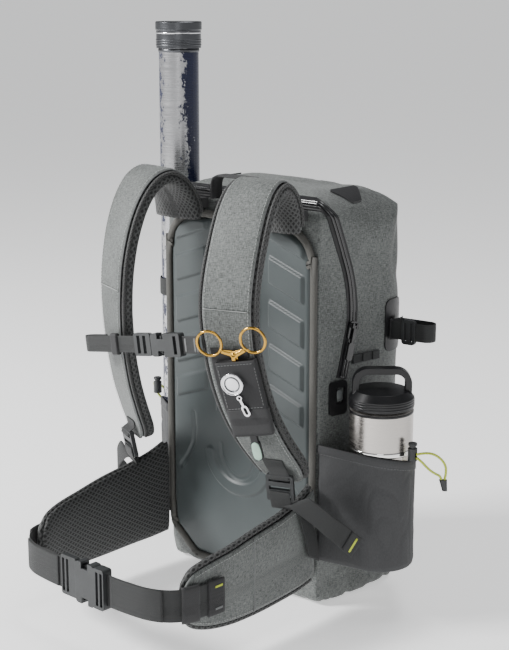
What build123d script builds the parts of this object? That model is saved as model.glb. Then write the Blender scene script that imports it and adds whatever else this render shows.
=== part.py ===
"""Waterproof tackle backpack with a carried rod tube, steel bottle and angler's tools.

Millimetres, +Z up. The origin is the centre of the flat base. -Y is the wearer's side,
+X is the bottle's side. Every separate piece is one STEP file in parts/.
"""
import os
from math import cos, pi, radians, sin, sqrt, tan

from build123d import *

os.makedirs("parts", exist_ok=True)

# ---- driving dimensions ---------------------------------------------------------------
BAG_HEIGHT = 503.0
BACK_Y = -82.0            # the bag's back, which the foam panel is bonded to
FRONT_Y = 88.0
HALF_BACK = 126.0         # half width at the back
HALF_FRONT = 147.0        # half width at the front
WALL = 2.0                # coated fabric with its welded lining
SKIN = 1.4                # thickness of tapes and patches welded on the outside
PANEL_THICK = 8.0
BORDER_WIDTH = 10.0
BORDER_THICK = 7.0
SEAM_Y = -47.0            # welded seam below the zipper
ZIP_LOW = (-47.0, 282.0)  # lower end of the zipper, (y, z)
ZIP_WIDTH = 16.0
ZIP_SLIT = 6.0

TUBE_X, TUBE_Y = -164.0, -22.0
TUBE_R = 25.4
TUBE_TOP = 690.0
CAP_R = 29.5
CAP_HEIGHT = 33.0
BOTTLE_X, BOTTLE_Y = 180.0, -32.0
BOTTLE_R = 37.5
STEEL_TOP = 255.0
POCKET_FLOOR = 62.0
POCKET_WALL = 2.4
STRAP_Z = 330.0           # middle of the side strap's webbing on the bottle's side
TUBE_STRAP_Z = 350.0
SIDE_WEBBING = 22.0

STRAP_SHELL_WIDTH = 58.0
STRAP_MESH_WIDTH = 70.0
STRAP_SHELL_THICK = 4.0
STRAP_MESH_THICK = 17.0

HIP_WEBBING = 38.0
HIP_Z = 78.0
BUCKLE_Y = -337.0
CHEST_Z = 332.0
CHEST_Y = -219.5
CHEST_SLANT = 9.0         # degrees that the sternum strap rises towards the right
CHEST_WEBBING = 20.0
LADDER_WEBBING = 25.0
CORD_D = 3.0

SIDE_SLOPE = (HALF_FRONT - HALF_BACK) / (FRONT_Y - BACK_Y)
FAR = 300.0               # longer than anything that a cutting profile must pass through


# ---- shared helpers -------------------------------------------------------------------
def save(shape, label):
    """Label a finished piece and write it."""
    shape.label = label
    export_step(shape, f"parts/{label}.step")


def side_x(y):
    """Half width of the bag on its flat, slightly tapered side."""
    return HALF_BACK + SIDE_SLOPE * (y - BACK_Y)


def side_plane(y, z, lift=0.0, along=(0.0, 1.0)):
    """Plane on the right side of the bag: local x runs along (dy, dz), local z points out."""
    normal = Vector(1, -SIDE_SLOPE, 0).normalized()
    origin = Vector(side_x(y), y, z) + normal * lift
    run = Vector(SIDE_SLOPE * along[0], along[0], along[1])
    return Plane(origin=origin, x_dir=run, z_dir=normal)


def nearest_corner(sketch, point):
    """The sketch's vertex nearest to a point of its own plane."""
    return sketch.vertices().sort_by_distance((*point, 0))[0]


def bag_form(inset):
    """The bag's outer form, moved inwards by inset on every face."""
    with BuildPart() as form:
        with BuildSketch(Plane.XY):
            with BuildLine():
                Polyline((-HALF_BACK, BACK_Y), (HALF_BACK, BACK_Y), (HALF_FRONT, FRONT_Y),
                         (-HALF_FRONT, FRONT_Y), close=True)
            plan = make_face()
            fillet(plan.vertices().group_by(Axis.Y)[-1], radius=58)
            offset(amount=-inset)
        extrude(amount=BAG_HEIGHT + FAR, both=True)
        back, front, top = BACK_Y + inset, FRONT_Y - inset, BAG_HEIGHT - inset
        with BuildSketch(Plane.YZ) as side_view:
            with BuildLine():
                Polyline((back, inset), (front, inset), (front, top), (back, top), close=True)
            make_face()
            for corner, radius in (((back, top), 45), ((front, top), 70), ((back, inset), 14),
                                   ((front, inset), 24)):
                fillet(nearest_corner(side_view, corner), radius=radius - inset)
        extrude(amount=FAR, both=True, mode=Mode.INTERSECT)
        with BuildSketch(Plane.XZ) as front_view:
            with Locations((0, BAG_HEIGHT / 2)):
                Rectangle(2 * (HALF_FRONT - inset), BAG_HEIGHT - 2 * inset)
            fillet(front_view.vertices().group_by(Axis.Y)[-1], radius=78 - inset)
            fillet(front_view.vertices().group_by(Axis.Y)[0], radius=20 - inset)
        extrude(amount=FAR, both=True, mode=Mode.INTERSECT)
    return form.part


def band(stations, width_scale, thickness, lift):
    """Flat band through stations (point, width direction, width).

    lift moves it off the stations' line, along the side that faces out.
    """
    points = [Vector(*point) for point, _, _ in stations]
    last = len(points) - 1
    with BuildPart() as built:
        for index, (_, across, width) in enumerate(stations):
            across = Vector(*across).normalized()
            run = points[min(index + 1, last)] - points[max(index - 1, 0)]
            run = run - across * run.dot(across)
            plane = Plane(origin=points[index], x_dir=across, z_dir=run)
            with BuildSketch(plane):
                with Locations((0, lift)):
                    Rectangle(width * width_scale, thickness)
        loft(ruled=True)
    return built.part


def block(low, high, radius=0.0):
    """Box between two corners, with its edges along Z rounded."""
    size = [b - a for a, b in zip(low, high)]
    middle = [(a + b) / 2 for a, b in zip(low, high)]
    with BuildPart() as built:
        with Locations(tuple(middle)):
            Box(*size)
        if radius > 0:
            fillet(built.edges().filter_by(Axis.Z), radius=radius)
    return built.part


def mirrored(shape):
    """The same piece on the other side of the bag."""
    return mirror(shape, about=Plane.YZ)


def zip_path():
    """The zipper's line on the side of the bag, in the YZ plane."""
    return FilletPolyline(ZIP_LOW, (-29, 356), (-36, 404), (-80, 515), radius=[110, 170])


# ---- bag shell ------------------------------------------------------------------------
outer = bag_form(0.0)
inner = bag_form(WALL)
skin = bag_form(-SKIN) - outer

with BuildPart() as slit:
    with BuildSketch(Plane.YZ):
        with BuildLine() as slit_line:
            zip_path()
        trace(slit_line.line, line_width=ZIP_SLIT)
    extrude(amount=FAR, both=True)

with BuildPart() as back_half:
    with BuildSketch(Plane.YZ):
        with BuildLine():
            seam = zip_path()
            Polyline(seam @ 1, (BACK_Y - 20, 515), (BACK_Y - 20, -20), (SEAM_Y, -20), ZIP_LOW)
        make_face()
    extrude(amount=FAR, both=True)

with BuildPart() as back_shell:
    add(outer)
    add(inner, mode=Mode.SUBTRACT)
    add(back_half.part, mode=Mode.INTERSECT)
    add(slit.part, mode=Mode.SUBTRACT)
save(back_shell.part, "back_shell")

with BuildPart() as front_shell:
    add(outer)
    add(inner, mode=Mode.SUBTRACT)
    add(back_half.part, mode=Mode.SUBTRACT)
    add(slit.part, mode=Mode.SUBTRACT)
save(front_shell.part, "front_shell")

# ---- zipper ---------------------------------------------------------------------------
with BuildPart() as zipper_track:
    add(skin)
    with BuildSketch(Plane.YZ):
        with BuildLine() as track_line:
            zip_path()
        trace(track_line.line, line_width=ZIP_WIDTH)
    extrude(amount=FAR, both=True, mode=Mode.INTERSECT)
save(zipper_track.part, "zipper_track")

ZIP_RUN = (18.0, 74.0)
ZIP_DIR = Vector(0, *ZIP_RUN).normalized()
SLIDER_UP = 58.0          # how far the parked slider stands above the zipper's lower end
slider_y = ZIP_LOW[0] + ZIP_DIR.Y * SLIDER_UP
slider_z = ZIP_LOW[1] + ZIP_DIR.Z * SLIDER_UP
on_slider = side_plane(slider_y, slider_z, lift=SKIN + 0.4, along=ZIP_RUN)
PULL_PIN_R = 1.2
SLIDER_THICK = 3.2
PULL_LIFT = 4.9           # height of the pull's pin over the zipper

with BuildPart() as zipper_slider:
    with BuildSketch(on_slider):
        RectangleRounded(22, 13, 4)
    extrude(amount=SLIDER_THICK)
    with BuildSketch(on_slider.offset(SLIDER_THICK)):
        with Locations((6, 0)):
            Rectangle(6, 9)
    extrude(amount=3.4)
    with BuildSketch(on_slider.offset(SLIDER_THICK)):
        with Locations((6, 0)):
            Rectangle(12, 3.6)
    extrude(amount=3.4, mode=Mode.SUBTRACT)
    with Locations(on_slider.offset(PULL_LIFT) * Location((6, 0, 0), (90, 0, 0))):
        Hole(radius=PULL_PIN_R + 0.05, depth=20)
save(zipper_slider.part, "zipper_slider")

with BuildPart() as zipper_pull:
    with Locations(on_slider.offset(PULL_LIFT) * Location((6, 0, 0), (90, 0, 0))):
        Cylinder(radius=PULL_PIN_R, height=8.6)
        Cylinder(radius=1.6, height=2.8)
    with BuildSketch(on_slider.offset(PULL_LIFT - 1)):
        with Locations((-6, 0)):
            Rectangle(24, 2.8)
        with Locations((-25, 0)):
            RectangleRounded(22, 9, 3.5)
    extrude(amount=2.0)
save(zipper_pull.part, "zipper_pull")

# ---- welded patches: zipper docks, strap patches and top patches ----------------------
with BuildPart() as docks:
    add(bag_form(-2.8))
    add(outer, mode=Mode.SUBTRACT)
    with BuildSketch(Plane.YZ):
        with Locations((-53, 259)):
            RectangleRounded(27, 41, 5)
        with Locations((-50, 262)):
            RectangleRounded(13, 19, 3, rotation=-6, mode=Mode.SUBTRACT)
    extrude(amount=FAR, both=True, mode=Mode.INTERSECT)

with BuildPart() as strap_patches:
    add(skin)
    with BuildSketch(Plane.YZ):
        with Locations((42, 334)):
            RectangleRounded(36, 64, 9)
    extrude(amount=FAR, both=True, mode=Mode.INTERSECT)

with BuildPart() as top_patches:
    add(skin)
    with BuildSketch(Plane.XY.offset(BAG_HEIGHT / 2)):
        for sign in (-1, 1):
            with BuildLine():
                Polyline((sign * 94, -32), (sign * 92, 24), (sign * 118, 2), (sign * 119, -16),
                         close=True)
            corner = make_face()
            fillet(corner.vertices(), radius=3.5)
    extrude(amount=FAR, mode=Mode.INTERSECT)
save(docks.part + strap_patches.part + top_patches.part, "welded_patches")

# ---- lash tapes with bar-tacked loops -------------------------------------------------
tape_side = side_plane(-8.0, 302.0, along=(1.0, 0.0))
with BuildPart() as tape_right:
    with BuildSketch(tape_side):
        Rectangle(44, 10)
    extrude(amount=SKIN)
    with Locations(tape_side.offset(SKIN)):
        with Locations((-16, 0), (0, 0), (16, 0)):
            Box(11, 10, 1.4, align=(Align.CENTER, Align.CENTER, Align.MIN))
save(tape_right.part + mirrored(tape_right.part), "lash_tapes")

# ---- back panel -----------------------------------------------------------------------
PANEL_HALF, PANEL_TOP = 115.0, 458.0


def panel_face(grow):
    """Outline of the moulded panel, grown by the border's width where asked."""
    with BuildSketch(Plane.XZ.offset(-BACK_Y)) as outline:
        with BuildLine():
            Polyline((0, 22), (74, 22), (112, 52), (PANEL_HALF, 84), (PANEL_HALF, PANEL_TOP),
                     (0, PANEL_TOP))
            mirror(about=Plane.YZ)
        make_face()
        for x, z, radius in ((PANEL_HALF, PANEL_TOP, 54), (PANEL_HALF, 84, 14), (112, 52, 14),
                             (74, 22, 14)):
            for side in (-x, x):
                fillet(nearest_corner(outline, (side, z)), radius=radius)
        if grow > 0:
            offset(amount=grow)
    return outline.sketch


with BuildPart() as back_panel_foam:
    extrude(panel_face(0), amount=PANEL_THICK)
    chamfer(back_panel_foam.faces().sort_by(Axis.Y)[0].edges(), length=2.5)
save(back_panel_foam.part, "back_panel_foam")

with BuildPart() as panel_border:
    extrude(panel_face(BORDER_WIDTH), amount=BORDER_THICK)
    extrude(panel_face(0.2), amount=BORDER_THICK, mode=Mode.SUBTRACT)
save(panel_border.part, "panel_border")

frame_sheet = block((-105, BACK_Y + WALL, 40), (105, BACK_Y + WALL + 1.5, 440))
save(frame_sheet, "frame_sheet")

POCKET_BACK = BACK_Y + WALL + 1.5
with BuildPart() as inner_pocket:
    add(block((-90, POCKET_BACK, 200), (90, POCKET_BACK + 14, 380)))
    add(block((-88.5, POCKET_BACK, 201.5), (88.5, POCKET_BACK + 12.5, 390)), mode=Mode.SUBTRACT)
save(inner_pocket.part, "inner_pocket")

# ---- haul handle and the yoke that it and the straps are sewn to ----------------------
HAUL_Y, HAUL_Z = -86.0, 482.0
with BuildPart() as haul_handle:
    with BuildSketch(Plane.XZ.offset(-HAUL_Y - 10)) as arch:
        with BuildLine():
            Polyline((-37, HAUL_Z + 2), (-37, 514), (37, 514), (37, HAUL_Z + 2), (34, HAUL_Z + 2),
                     (34, 511), (-34, 511), (-34, HAUL_Z + 2), close=True)
        make_face()
        fillet(arch.vertices().group_by(Axis.Y)[-1], radius=15)
        fillet(arch.vertices().group_by(Axis.Y)[-2], radius=12)
    extrude(amount=20)
save(haul_handle.part, "haul_handle")

with BuildPart() as strap_yoke:
    for x in (-28, 28):
        with Locations((x, -86, 475)):
            Box(10, 8, 13)
    for x in (-80, 80):
        with Locations((x, -88, 477)):
            Box(54, 12, 12)
    add(bag_form(0.0), mode=Mode.SUBTRACT)
save(strap_yoke.part, "strap_yoke")

# ---- shoulder straps ------------------------------------------------------------------
def turned(degrees_out):
    """Width direction of a strap that faces out of the wearer's side by an angle."""
    return (cos(radians(degrees_out)), sin(radians(degrees_out)), 0)


strap_line = [
    ((80, -99, 462), turned(0), 1.05),
    ((81, -104, 486), turned(3), 1.05),
    ((83, -117, 508), turned(6), 1.03),
    ((86, -136, 519), turned(9), 1.0),
    ((90, -157, 512), turned(12), 1.0),
    ((93, -175, 490), turned(15), 1.0),
    ((95, -189, 458), turned(17), 1.0),
    ((95, -199, 420), turned(19), 1.0),
    ((95, -203, 384), turned(20), 1.0),
    ((97, -201, 345), turned(21), 0.97),
    ((100, -194, 305), turned(22), 0.97),
    ((105, -182, 265), turned(22), 0.97),
    ((112, -165, 228), turned(22), 0.97),
    ((121, -146, 196), turned(22), 0.92),
    ((127, -138, 178), turned(22), 0.7),
]
shell_stations = [(p, w, STRAP_SHELL_WIDTH * s) for p, w, s in strap_line]
mesh_stations = [(p, w, STRAP_MESH_WIDTH * s) for p, w, s in strap_line]
strap_shell = band(shell_stations, 1.0, STRAP_SHELL_THICK, STRAP_SHELL_THICK / 2 + 0.2)
strap_mesh = band(mesh_stations, 1.0, STRAP_MESH_THICK, -STRAP_MESH_THICK / 2 - 0.2)
save(strap_shell, "strap_shell_right")
save(mirrored(strap_shell), "strap_shell_left")
save(strap_mesh, "strap_mesh_right")
save(mirrored(strap_mesh), "strap_mesh_left")

# ---- ladder locks under the shoulder straps -------------------------------------------
LADDER_MID = Vector(128, -150.5, 172)
ladder_across = Vector(*turned(22))
ladder_dir = Vector(0.25, 0.3, -0.92)
ladder_dir = (ladder_dir - ladder_across * ladder_dir.dot(ladder_across)).normalized()
ladder_out = ladder_dir.cross(ladder_across).normalized()
LADDER_LENGTH = 34.0
ladder_plane = Plane(origin=LADDER_MID, x_dir=ladder_across, z_dir=ladder_out)
with BuildPart() as ladder_lock:
    with BuildSketch(ladder_plane):
        RectangleRounded(LADDER_WEBBING + 8, LADDER_LENGTH, 3)
        with Locations((0, 11), (0, 0), (0, -11)):
            Rectangle(LADDER_WEBBING + 1, 5, mode=Mode.SUBTRACT)
    extrude(amount=2.6, both=True)
save(ladder_lock.part, "ladder_lock_right")
save(mirrored(ladder_lock.part), "ladder_lock_left")

# The free end of the webbing stands out from the ladder lock.
ladder_end = LADDER_MID + ladder_dir * (LADDER_LENGTH / 2 + 9)
tail_line = [
    (ladder_end, ladder_across, LADDER_WEBBING),
    ((146, -142, 155), (0.75, 0.3, 0.55), LADDER_WEBBING),
    ((160, -137, 149), (0.4, 0.15, 0.9), LADDER_WEBBING),
    ((178, -127, 134), (0.3, 0.2, 0.93), LADDER_WEBBING),
    ((190, -115, 120), (0.3, 0.35, 0.88), LADDER_WEBBING),
    ((198, -97, 102), (0.3, 0.45, 0.84), LADDER_WEBBING),
]
webbing_tail = band(tail_line, 1.0, 1.8, 0)
save(webbing_tail, "webbing_tail_right")
save(mirrored(webbing_tail), "webbing_tail_left")

# ---- sternum strap: drawn on its own slanted plane ------------------------------------
chest = Plane(origin=(0, CHEST_Y, CHEST_Z),
              x_dir=(cos(radians(CHEST_SLANT)), 0, sin(radians(CHEST_SLANT))), z_dir=(0, -1, 0))
CHEST_BUCKLE = 4.5        # half thickness of the female half
TONGUE = 1.5              # half thickness of the male tongues

with BuildPart() as sternum_female:
    with BuildSketch(chest):
        with Locations((9, 0)):
            RectangleRounded(32, 27, 4)
        with Locations((31, 0)):
            RectangleRounded(20, 27, 3)
    extrude(amount=CHEST_BUCKLE, both=True)
    with BuildSketch(chest):
        with Locations((5, 0)):
            Rectangle(28, 22)
        with Locations((33, 0)):
            Rectangle(5, CHEST_WEBBING + 1)
    extrude(amount=TONGUE + 0.9, both=True, mode=Mode.SUBTRACT)
    with BuildSketch(chest):
        with Locations((33, 0)):
            Rectangle(5, CHEST_WEBBING + 1)
        with Locations((9, 10.5), (9, -10.5)):
            Rectangle(10, 7)
    extrude(amount=CHEST_BUCKLE + 1, both=True, mode=Mode.SUBTRACT)
save(sternum_female.part, "sternum_buckle_female")

with BuildPart() as sternum_male:
    with BuildSketch(chest):
        with Locations((-24, 0)):
            RectangleRounded(28, 27, 3)
        with Locations((-30, 0), (-20, 0)):
            Rectangle(5, CHEST_WEBBING + 1, mode=Mode.SUBTRACT)
    extrude(amount=2.6, both=True)
    with BuildSketch(chest):
        with Locations((0, 0)):
            Rectangle(24, 4)
        with Locations((-2, 8.2), (-2, -8.2)):
            Rectangle(22, 4)
    extrude(amount=TONGUE, both=True)
save(sternum_male.part, "sternum_buckle_male")

with BuildPart() as sternum_webbing_right:
    with BuildSketch(chest):
        with Locations((54, 0)):
            Rectangle(24, CHEST_WEBBING)
    extrude(amount=0.8, both=True)
    with BuildSketch(chest):
        with Locations((67, 0)):
            RectangleRounded(6, CHEST_WEBBING + 4, 2)
    extrude(amount=1.2, both=True)
save(sternum_webbing_right.part, "sternum_webbing_right")

# The left webbing is doubled back on itself: its loop stands out past the left strap.
with BuildPart() as sternum_webbing_left:
    with BuildSketch(Plane(origin=chest.origin, x_dir=chest.x_dir, z_dir=chest.y_dir)):
        with BuildLine():
            Polyline((-39, -0.8), (-124, -0.8), (-132, 2.5), (-132, 7.5), (-124, 10.8),
                     (-98, 10.8), (-98, 9.2), (-123, 9.2), (-130.4, 6.5), (-130.4, 3.5),
                     (-123, 0.8), (-39, 0.8), close=True)
        make_face()
    extrude(amount=CHEST_WEBBING / 2, both=True)
save(sternum_webbing_left.part, "sternum_webbing_left")

with BuildPart() as sternum_anchor:
    with BuildSketch(chest):
        with Locations((-74, 0)):
            RectangleRounded(10, CHEST_WEBBING + 6, 2)
    extrude(amount=3.4, both=True)
    with BuildSketch(chest):
        with Locations((-74, 0)):
            Rectangle(14, CHEST_WEBBING + 1)
    extrude(amount=1.6, both=True, mode=Mode.SUBTRACT)
save(sternum_anchor.part, "sternum_anchor_left")

# ---- hip belt -------------------------------------------------------------------------
UP = (0, 0, 1)
PAD_THICK, HIP_SHELL_THICK = 9.0, 6.0
wing_line = [
    ((125, -93.5, 100), UP, 121),
    ((128, -120, 93), UP, 113),
    ((130.5, -155, 88), UP, 106),
    ((131.5, -195, 84), UP, 101),
    ((131, -235, 80), UP, 92),
    ((128.5, -268, 79), UP, 82),
    ((125, -290, 79), UP, 68),
    ((121, -305, 79), UP, 46),
]
hip_pad = band(wing_line, 1.0, PAD_THICK, PAD_THICK / 2 + 0.2)
hip_shell = band(wing_line, 0.93, HIP_SHELL_THICK, -HIP_SHELL_THICK / 2 - 0.2)
save(hip_pad, "hip_pad_right")
save(mirrored(hip_pad), "hip_pad_left")
save(hip_shell, "hip_shell_right")
save(mirrored(hip_shell), "hip_shell_left")

belt_line = [
    ((138.6, -256, HIP_Z), UP, HIP_WEBBING),
    ((137.4, -274, HIP_Z), UP, HIP_WEBBING),
    ((132, -302, HIP_Z), UP, HIP_WEBBING),
    ((119, -321, HIP_Z), UP, HIP_WEBBING),
    ((97, -332, HIP_Z), UP, HIP_WEBBING),
    ((66, -336, HIP_Z), UP, HIP_WEBBING),
    ((38.5, BUCKLE_Y, HIP_Z), UP, HIP_WEBBING),
]
hip_webbing = band(belt_line, 1.0, 2.0, 0)
save(hip_webbing, "hip_webbing_right")
save(mirrored(hip_webbing), "hip_webbing_left")

# Short strap sewn to the wing's root, which runs up to the ladder lock.
lower_line = [
    ((139.5, -104, 74), (0, -0.85, 0.5), 22),
    ((140, -108, 96), (0, -0.95, 0.3), 22),
    ((139, -116, 120), (0, -0.95, 0.3), 22),
    ((136.5, -124, 143), (0.2, -0.93, 0.3), 22),
]
lower_webbing = band(lower_line, 1.0, 1.8, 0)
save(lower_webbing, "lower_webbing_right")
save(mirrored(lower_webbing), "lower_webbing_left")

belt = Plane(origin=(0, BUCKLE_Y, HIP_Z), x_dir=(1, 0, 0), z_dir=(0, -1, 0))
HIP_BUCKLE = 6.5
HIP_TONGUE = 2.0
HIP_CLEAR = 1.4           # room round the tongues, which the wings' swing needs

with BuildPart() as hip_buckle_female:
    with BuildSketch(belt):
        with Locations((6, 0)):
            RectangleRounded(32, 50, 5)
        with Locations((29, 0)):
            RectangleRounded(18, 48, 3)
    extrude(amount=HIP_BUCKLE, both=True)
    with BuildSketch(belt):
        with Locations((2, 0)):
            Rectangle(26, 44)
    extrude(amount=HIP_TONGUE + HIP_CLEAR, both=True, mode=Mode.SUBTRACT)
    with BuildSketch(belt):
        with Locations((27, 0), (34, 0)):
            Rectangle(4, HIP_WEBBING + 2)
        with Locations((6, 22), (6, -22)):
            Rectangle(11, 9)
    extrude(amount=HIP_BUCKLE + 1, both=True, mode=Mode.SUBTRACT)
save(hip_buckle_female.part, "hip_buckle_female")

with BuildPart() as hip_buckle_male:
    with BuildSketch(belt):
        with Locations((-25, 0)):
            RectangleRounded(26, 48, 3)
        with Locations((-34, 0), (-27, 0)):
            Rectangle(4, HIP_WEBBING + 2, mode=Mode.SUBTRACT)
    extrude(amount=3.4, both=True)
    with BuildSketch(belt):
        with Locations((-2, 0)):
            Rectangle(22, 8)
        with Locations((-4, 17), (-4, -17)):
            Rectangle(19, 7)
    extrude(amount=HIP_TONGUE, both=True)
save(hip_buckle_male.part, "hip_buckle_male")

# ---- side pockets ---------------------------------------------------------------------
HEM_REAR = (-110.0, 213.0)   # the hem slants down towards the front, (y, z)
HEM_FRONT = (90.0, 168.0)


def side_pocket(x, y, radius):
    """Stretch pocket on the +X side, drawn round a round load that stands at (x, y)."""
    with BuildPart() as pocket:
        for shrink, mode in ((0.0, Mode.ADD), (POCKET_WALL, Mode.SUBTRACT)):
            floor = POCKET_FLOOR + shrink
            with BuildSketch(Plane.XY.offset(floor)):
                with BuildLine():
                    CenterArc((x, y), radius + 1.6 + POCKET_WALL - shrink, 0, 360)
                    CenterArc((129, -77), 6.5 - shrink, 0, 360)
                    CenterArc((138, 48), 9.0 - shrink, 0, 360)
                make_hull()
            extrude(amount=HEM_REAR[1] + 10 - floor, mode=mode)
        add(outer, mode=Mode.SUBTRACT)
        with BuildSketch(Plane.YZ):
            with BuildLine():
                Polyline(HEM_REAR, (HEM_REAR[0], FAR), (HEM_FRONT[0], FAR), HEM_FRONT, close=True)
            make_face()
        extrude(amount=FAR, mode=Mode.SUBTRACT)
    return pocket.part


save(side_pocket(BOTTLE_X, BOTTLE_Y, BOTTLE_R), "side_pocket_right")
save(mirrored(side_pocket(-TUBE_X, TUBE_Y, TUBE_R)), "side_pocket_left")

# ---- side straps that hold rods upright -----------------------------------------------
def strap_loop(circles, z, height):
    """Closed webbing loop round circles (x, y, radius), with its width along Z."""
    with BuildPart() as loop:
        for shrink, mode in ((0.0, Mode.ADD), (1.6, Mode.SUBTRACT)):
            with BuildSketch(Plane.XY.offset(z - height / 2)):
                with BuildLine():
                    for x, y, radius in circles:
                        CenterArc((x, y), radius - shrink, 0, 360)
                make_hull()
            extrude(amount=height, mode=mode)
        add(bag_form(-SKIN - 0.1), mode=Mode.SUBTRACT)
    return loop.part


RIGHT_LOOP = [(186, 45, 11), (149, 41, 12)]
LEFT_LOOP = [(-TUBE_X, TUBE_Y, TUBE_R + 2.6), (146, 40, 6)]
right_loop = strap_loop(RIGHT_LOOP, STRAP_Z, SIDE_WEBBING)
left_loop = mirrored(strap_loop(LEFT_LOOP, TUBE_STRAP_Z, SIDE_WEBBING))
save(right_loop, "rod_strap_right")
save(left_loop, "rod_strap_left")


def strap_slider(place):
    """Two-slot slider standing on a strap, whose local x runs along the webbing."""
    with BuildPart() as slider:
        with BuildSketch(place):
            RectangleRounded(18, SIDE_WEBBING + 8, 4)
        extrude(amount=2.4, both=True)
        with BuildSketch(place):
            Rectangle(19, SIDE_WEBBING + 1)
        extrude(amount=1.1, both=True, mode=Mode.SUBTRACT)
        with BuildSketch(place):
            with Locations((-4, 0), (4, 0)):
                Rectangle(3.4, SIDE_WEBBING + 1)
        extrude(amount=3, both=True, mode=Mode.SUBTRACT)
    return slider.part


def straight_run(first, second, side, z):
    """Plane at the middle of a loop's straight run between two circles (x, y, radius)."""
    start, end = Vector(*first[:2]), Vector(*second[:2])
    along = (end - start).normalized()
    lean = (first[2] - second[2]) / (end - start).length
    out = along * lean + Vector(along.Y, -along.X) * side * sqrt(1 - lean * lean)
    middle = (start + end + out * (first[2] + second[2] - 1.6)) * 0.5
    return Plane(origin=(middle.X, middle.Y, z), x_dir=along, z_dir=out)


save(strap_slider(straight_run(*RIGHT_LOOP, -1, STRAP_Z)), "strap_slider_right")
save(mirrored(strap_slider(straight_run(*LEFT_LOOP, 1, TUBE_STRAP_Z))), "strap_slider_left")

# ---- cord locks on the pocket hems ----------------------------------------------------
LOCK_X, LOCK_Y, LOCK_Z = 228.0, -34.0, 199.0
LOCK_R = 5.5
LOCK_HEIGHT = 15.0
CORD_UP = 6.5             # height of the cord's hole above the lock's foot
PLUNGER_R = 3.9

with BuildPart() as cord_lock:
    with BuildSketch(Plane.XY.offset(LOCK_Z)):
        with Locations((LOCK_X, LOCK_Y)):
            Circle(LOCK_R)
    extrude(amount=LOCK_HEIGHT)
    with BuildSketch(Plane.XY.offset(LOCK_Z + 3)):
        with Locations((LOCK_X, LOCK_Y)):
            Circle(PLUNGER_R + 0.25)
    extrude(amount=LOCK_HEIGHT, mode=Mode.SUBTRACT)
    with BuildSketch(Plane.YZ.offset(LOCK_X)):
        with Locations((LOCK_Y, LOCK_Z + CORD_UP)):
            SlotOverall(9, CORD_D + 0.6, rotation=90)
    extrude(amount=LOCK_R + 1, mode=Mode.SUBTRACT)

with BuildPart() as lock_plunger:
    with BuildSketch(Plane.XY.offset(LOCK_Z + 8)):
        with Locations((LOCK_X, LOCK_Y)):
            Circle(PLUNGER_R)
    extrude(amount=10.5)
    with BuildSketch(Plane.XY.offset(LOCK_Z + 18.5)):
        with Locations((LOCK_X, LOCK_Y)):
            Circle(LOCK_R - 0.3)
    extrude(amount=3)
    fillet(lock_plunger.edges().group_by(Axis.Z)[-1], radius=1)

LEFT_SHIFT = -TUBE_X + TUBE_R - BOTTLE_X - BOTTLE_R   # the tube's pocket is slimmer


def on_left(shape):
    """The same lock or cord on the tube's pocket."""
    return mirrored(Pos(LEFT_SHIFT, 0, 0) * shape)


save(cord_lock.part, "cord_lock_right")
save(on_left(cord_lock.part), "cord_lock_left")
save(lock_plunger.part, "lock_plunger_right")
save(on_left(lock_plunger.part), "lock_plunger_left")


# ---- cords ----------------------------------------------------------------------------
def corner_radii(points):
    """Radius of each corner's arc: 0.45 of the shorter run over the tangent of half the turn."""
    radii = []
    for before, corner, after in zip(points, points[1:], points[2:]):
        arrive = Vector(*corner) - Vector(*before)
        leave = Vector(*after) - Vector(*corner)
        half_turn = radians(arrive.get_angle(leave) / 2)
        radii.append(0.45 * min(arrive.length, leave.length) / tan(half_turn))
    return radii


def cord(points, label):
    """Round cord along a route of straight runs joined by tangent arcs."""
    radii = corner_radii(points)
    with BuildPart() as built:
        with BuildLine():
            route = FilletPolyline(*points, radius=radii)
        with BuildSketch(Plane(origin=route @ 0, z_dir=route % 0)):
            Circle(CORD_D / 2)
        sweep(path=route)
    expected = route.length * pi * CORD_D ** 2 / 4
    print(label, "length", round(route.length, 1), "radii", [round(r, 1) for r in radii],
          "volume ratio", round(built.part.volume / expected, 4))
    return built.part


cord_exit = (LOCK_X + LOCK_R + 0.1, LOCK_Y, LOCK_Z + CORD_UP + 1.8)
cord_exit_low = (LOCK_X + LOCK_R + 0.1, LOCK_Y, LOCK_Z + CORD_UP - 1.8)
END_TOP = Vector(241.6, 8.7, 168)
upper_route = [cord_exit, (240.6, -30, 209.8), (246.1, -18, 207.3), (249.1, -6, 198.5),
               (249.1, 3, 188), (246.2, 8, 178), (243.2, 9.9, 168.6)]
lower_route = [cord_exit_low, (237.1, -29, 198.7), (238.6, -21, 190.2), (239.6, -12, 182.7),
               (240.2, -3, 177.2), (240, 4, 173.6), (240, 7.5, 168.6)]
upper_cord = cord(upper_route, "pocket_cord_upper")
lower_cord = cord(lower_route, "pocket_cord_lower")
save(upper_cord, "pocket_cord_upper")
save(lower_cord, "pocket_cord_lower")

with BuildPart() as cord_end:
    with BuildSketch(Plane.XY.offset(END_TOP.Z)):
        with Locations((END_TOP.X, END_TOP.Y)):
            SlotOverall(9.5, 5.5, rotation=38)
    with BuildSketch(Plane.XY.offset(END_TOP.Z - 14)):
        with Locations((END_TOP.X + 1.5, END_TOP.Y + 2)):
            SlotOverall(6, 4.4, rotation=36)
    loft()
save(cord_end.part, "cord_end")

left_low = [(251.5, 4, 189), (249.5, 10, 178), (243.5, 9, 169), (237.5, 1, 166),
            (235.5, -9, 171), (236, -15, 181)]
left_route = [(x + LEFT_SHIFT, y, z)
              for x, y, z in upper_route[:4] + left_low + lower_route[2::-1]]
left_cord = cord([(-x, y, z) for x, y, z in left_route], "pocket_cord_left")
save(left_cord, "pocket_cord_left")

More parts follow.
